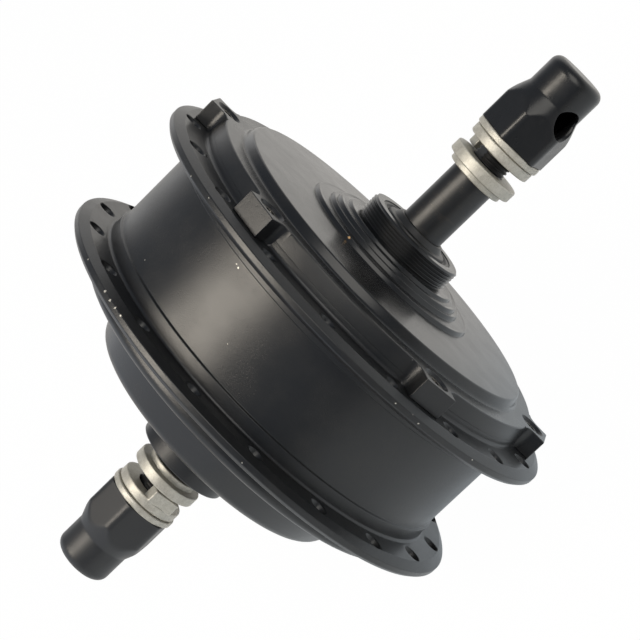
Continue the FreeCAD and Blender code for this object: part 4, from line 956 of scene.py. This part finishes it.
def pale_floor():
    """White to the camera and to reflections. The light sees a pale floor that is greyer in front."""
    f = Finish("pale_floor")
    front = (f.axis("X") + f.axis("Y") * 0.7).between(60.0, 520.0)
    f.surface(f.mix(front, (0.86, 0.86, 0.86), (0.30, 0.305, 0.32)), 1.0,
              fixed={"Specular IOR Level": 0.0})
    rays = f.node("ShaderNodeLightPath")
    mirrored = rays.beside("Is Glossy Ray") * (0.75 - front * 0.65)
    share = (rays * 0.99).math("MAXIMUM", mirrored)
    near = f.mix(f.axis("X").between(-90.0, 30.0), (1.0, 0.98, 0.945), (0.88, 0.95, 1.0))
    tint = f.mix(front, near, (0.70, 0.85, 1.0))
    white = f.node("ShaderNodeEmission", None, {
        "Color": f.mix(rays, tint, (1.0, 1.0, 1.0)), "Strength": 1.0})
    plain = Value(f, f.shader.outputs[0])
    result = f.tree.nodes["Material Output"]
    f.tree.links.new(f.mix_surfaces(share, plain, white).socket, result.inputs["Surface"])
    return f.material


def studio_world(fill):
    """Even dim light, white to the camera. Reflections see white behind and below, and a dim room."""
    world = bpy.data.worlds.new("studio")
    bpy.context.scene.world = world
    world.use_nodes = True
    w = Nodes(world.node_tree)
    w.tree.nodes.clear()
    rays = w.node("ShaderNodeLightPath")
    direction = w.node("ShaderNodeTexCoord", out="Object")
    across = w.node("ShaderNodeSeparateXYZ", None, {0: w.node(
        "ShaderNodeVectorMath", {"operation": "NORMALIZE"}, {0: direction})})
    turn = across.math("ARCTAN2", across.beside("Z")) / (2 * math.pi) + 0.5
    dim = (0.24, 0.27, 0.32)
    room = w.node("ShaderNodeValToRGB", {"stops": [
        (0.0, (1.0, 1.0, 1.0)), (0.278, (1.0, 1.0, 1.0)), (0.322, (0.46, 0.46, 0.47)), (0.361, dim),
        (0.68, dim), (0.735, (0.15, 0.18, 0.23)), (0.80, (0.30, 0.34, 0.40)), (0.95, (0.84, 0.88, 0.94)),
    ]}, {0: turn})
    left = 1.0 - across.beside("Y").between(-0.75, -0.35)
    room = w.mix(left, room, (0.92, 0.97, 1.05))
    lit = w.node("ShaderNodeBackground", None, {"Color": (0.95, 0.97, 1.0, 1.0), "Strength": fill})
    mirrored = w.node("ShaderNodeBackground", None, {"Color": room, "Strength": 1.0})
    white = w.node("ShaderNodeBackground", None, {"Color": (1.0, 1.0, 1.0, 1.0), "Strength": 1.0})
    seen = w.mix_surfaces(rays.beside("Is Glossy Ray"), lit, mirrored)
    clear = rays.math("MAXIMUM", rays.beside("Is Transmission Ray"))
    w.node("ShaderNodeOutputWorld", None, {"Surface": w.mix_surfaces(clear, seen, white)}, out=None)


def lamp(name, place, size, power, colour):
    """A rectangular lamp that faces the middle of the object."""
    data = bpy.data.lights.new(name, "AREA")
    data.shape = "RECTANGLE"
    data.size, data.size_y = size
    data.energy = power
    data.color = colour
    light = bpy.data.objects.new(name, data)
    light.location = place
    light.rotation_euler = (-Vector(place)).to_track_quat("-Z", "Y").to_euler()
    bpy.context.scene.collection.objects.link(light)


class HUBMOTOR_OT_stage(bpy.types.Operator):
    """Build the floor, the lamps, the world and the camera"""
    bl_idname = "hubmotor.stage"
    bl_label = "Studio"

    def execute(self, context):
        settings = context.scene.hub_motor_stage
        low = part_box("hub_shell")[0].z
        far = FLOOR_REACH
        floor = loose("floor", bar([(-far, -far), (far, -far), (far, far), (-far, far)], -2, 0))
        floor.data.transform(Matrix.Rotation(math.radians(90), 4, "X"))
        floor.data.transform(Matrix.Translation((0, 0, low)))
        floor.data.materials.append(pale_floor())
        studio_world(settings.fill)
        lamp("key", (0.36, -0.33, 1.22), (0.70, 0.70), settings.key, (1.0, 0.915, 0.79))
        lamp("side", (0.88, 0.78, 0.76), (1.15, 0.9), settings.side, (1.0, 0.96, 0.88))
        # The camera's place and axes in the frame
        camera = bpy.data.objects.new("camera", bpy.data.cameras.new("camera"))
        right = Vector((0.21455, 0.70197, -0.67912))
        up = -Vector((0.48817, -0.67930, -0.54794))
        back = -Vector((-0.84597, -0.21397, -0.48842))
        turn = Matrix((right, up, back)).transposed().to_4x4()
        camera.matrix_world = Matrix.Translation((0.6016, 0.1531, 0.3493)) @ turn
        camera.data.sensor_width = 36.0
        camera.data.lens = settings.lens
        context.scene.collection.objects.link(camera)
        context.scene.camera = camera
        context.scene.view_settings.view_transform = "Standard"
        return {"FINISHED"}


class HUBMOTOR_PT_panel(bpy.types.Panel):
    """Sizes, colours and build steps of the hub motor"""
    bl_idname = "HUBMOTOR_PT_panel"
    bl_label = "Hub Motor"
    bl_space_type = "VIEW_3D"
    bl_region_type = "UI"
    bl_category = "Hub Motor"

    def draw(self, context):
        for group in (context.scene.hub_motor_sizes, context.scene.hub_motor_finish,
                      context.scene.hub_motor_stage):
            box = self.layout.box()
            for name in group.__annotations__:
                box.prop(group, name)
        for step in STEPS:
            self.layout.operator(step.bl_idname)


STEPS = (
    HUBMOTOR_OT_stage,
    HUBMOTOR_OT_shell,
    HUBMOTOR_OT_cover,
    HUBMOTOR_OT_cover_screws,
    HUBMOTOR_OT_seals,
    HUBMOTOR_OT_axle,
    HUBMOTOR_OT_washers,
    HUBMOTOR_OT_nut_covers,
    HUBMOTOR_OT_inner_parts,
)
GROUPS = (
    ("hub_motor_sizes", HubMotorSizes),
    ("hub_motor_finish", HubMotorFinish),
    ("hub_motor_stage", HubMotorStage),
)


def register():
    for name, group in GROUPS:
        bpy.utils.register_class(group)
        setattr(bpy.types.Scene, name, PointerProperty(type=group))
    for step in STEPS:
        bpy.utils.register_class(step)
    bpy.utils.register_class(HUBMOTOR_PT_panel)


def unregister():
    bpy.utils.unregister_class(HUBMOTOR_PT_panel)
    for step in reversed(STEPS):
        bpy.utils.unregister_class(step)
    for name, group in reversed(GROUPS):
        delattr(bpy.types.Scene, name)
        bpy.utils.unregister_class(group)


def main():
    register()
    for step in STEPS:
        group, name = step.bl_idname.split(".")
        getattr(getattr(bpy.ops, group), name)()


if __name__ == "__main__":
    main()
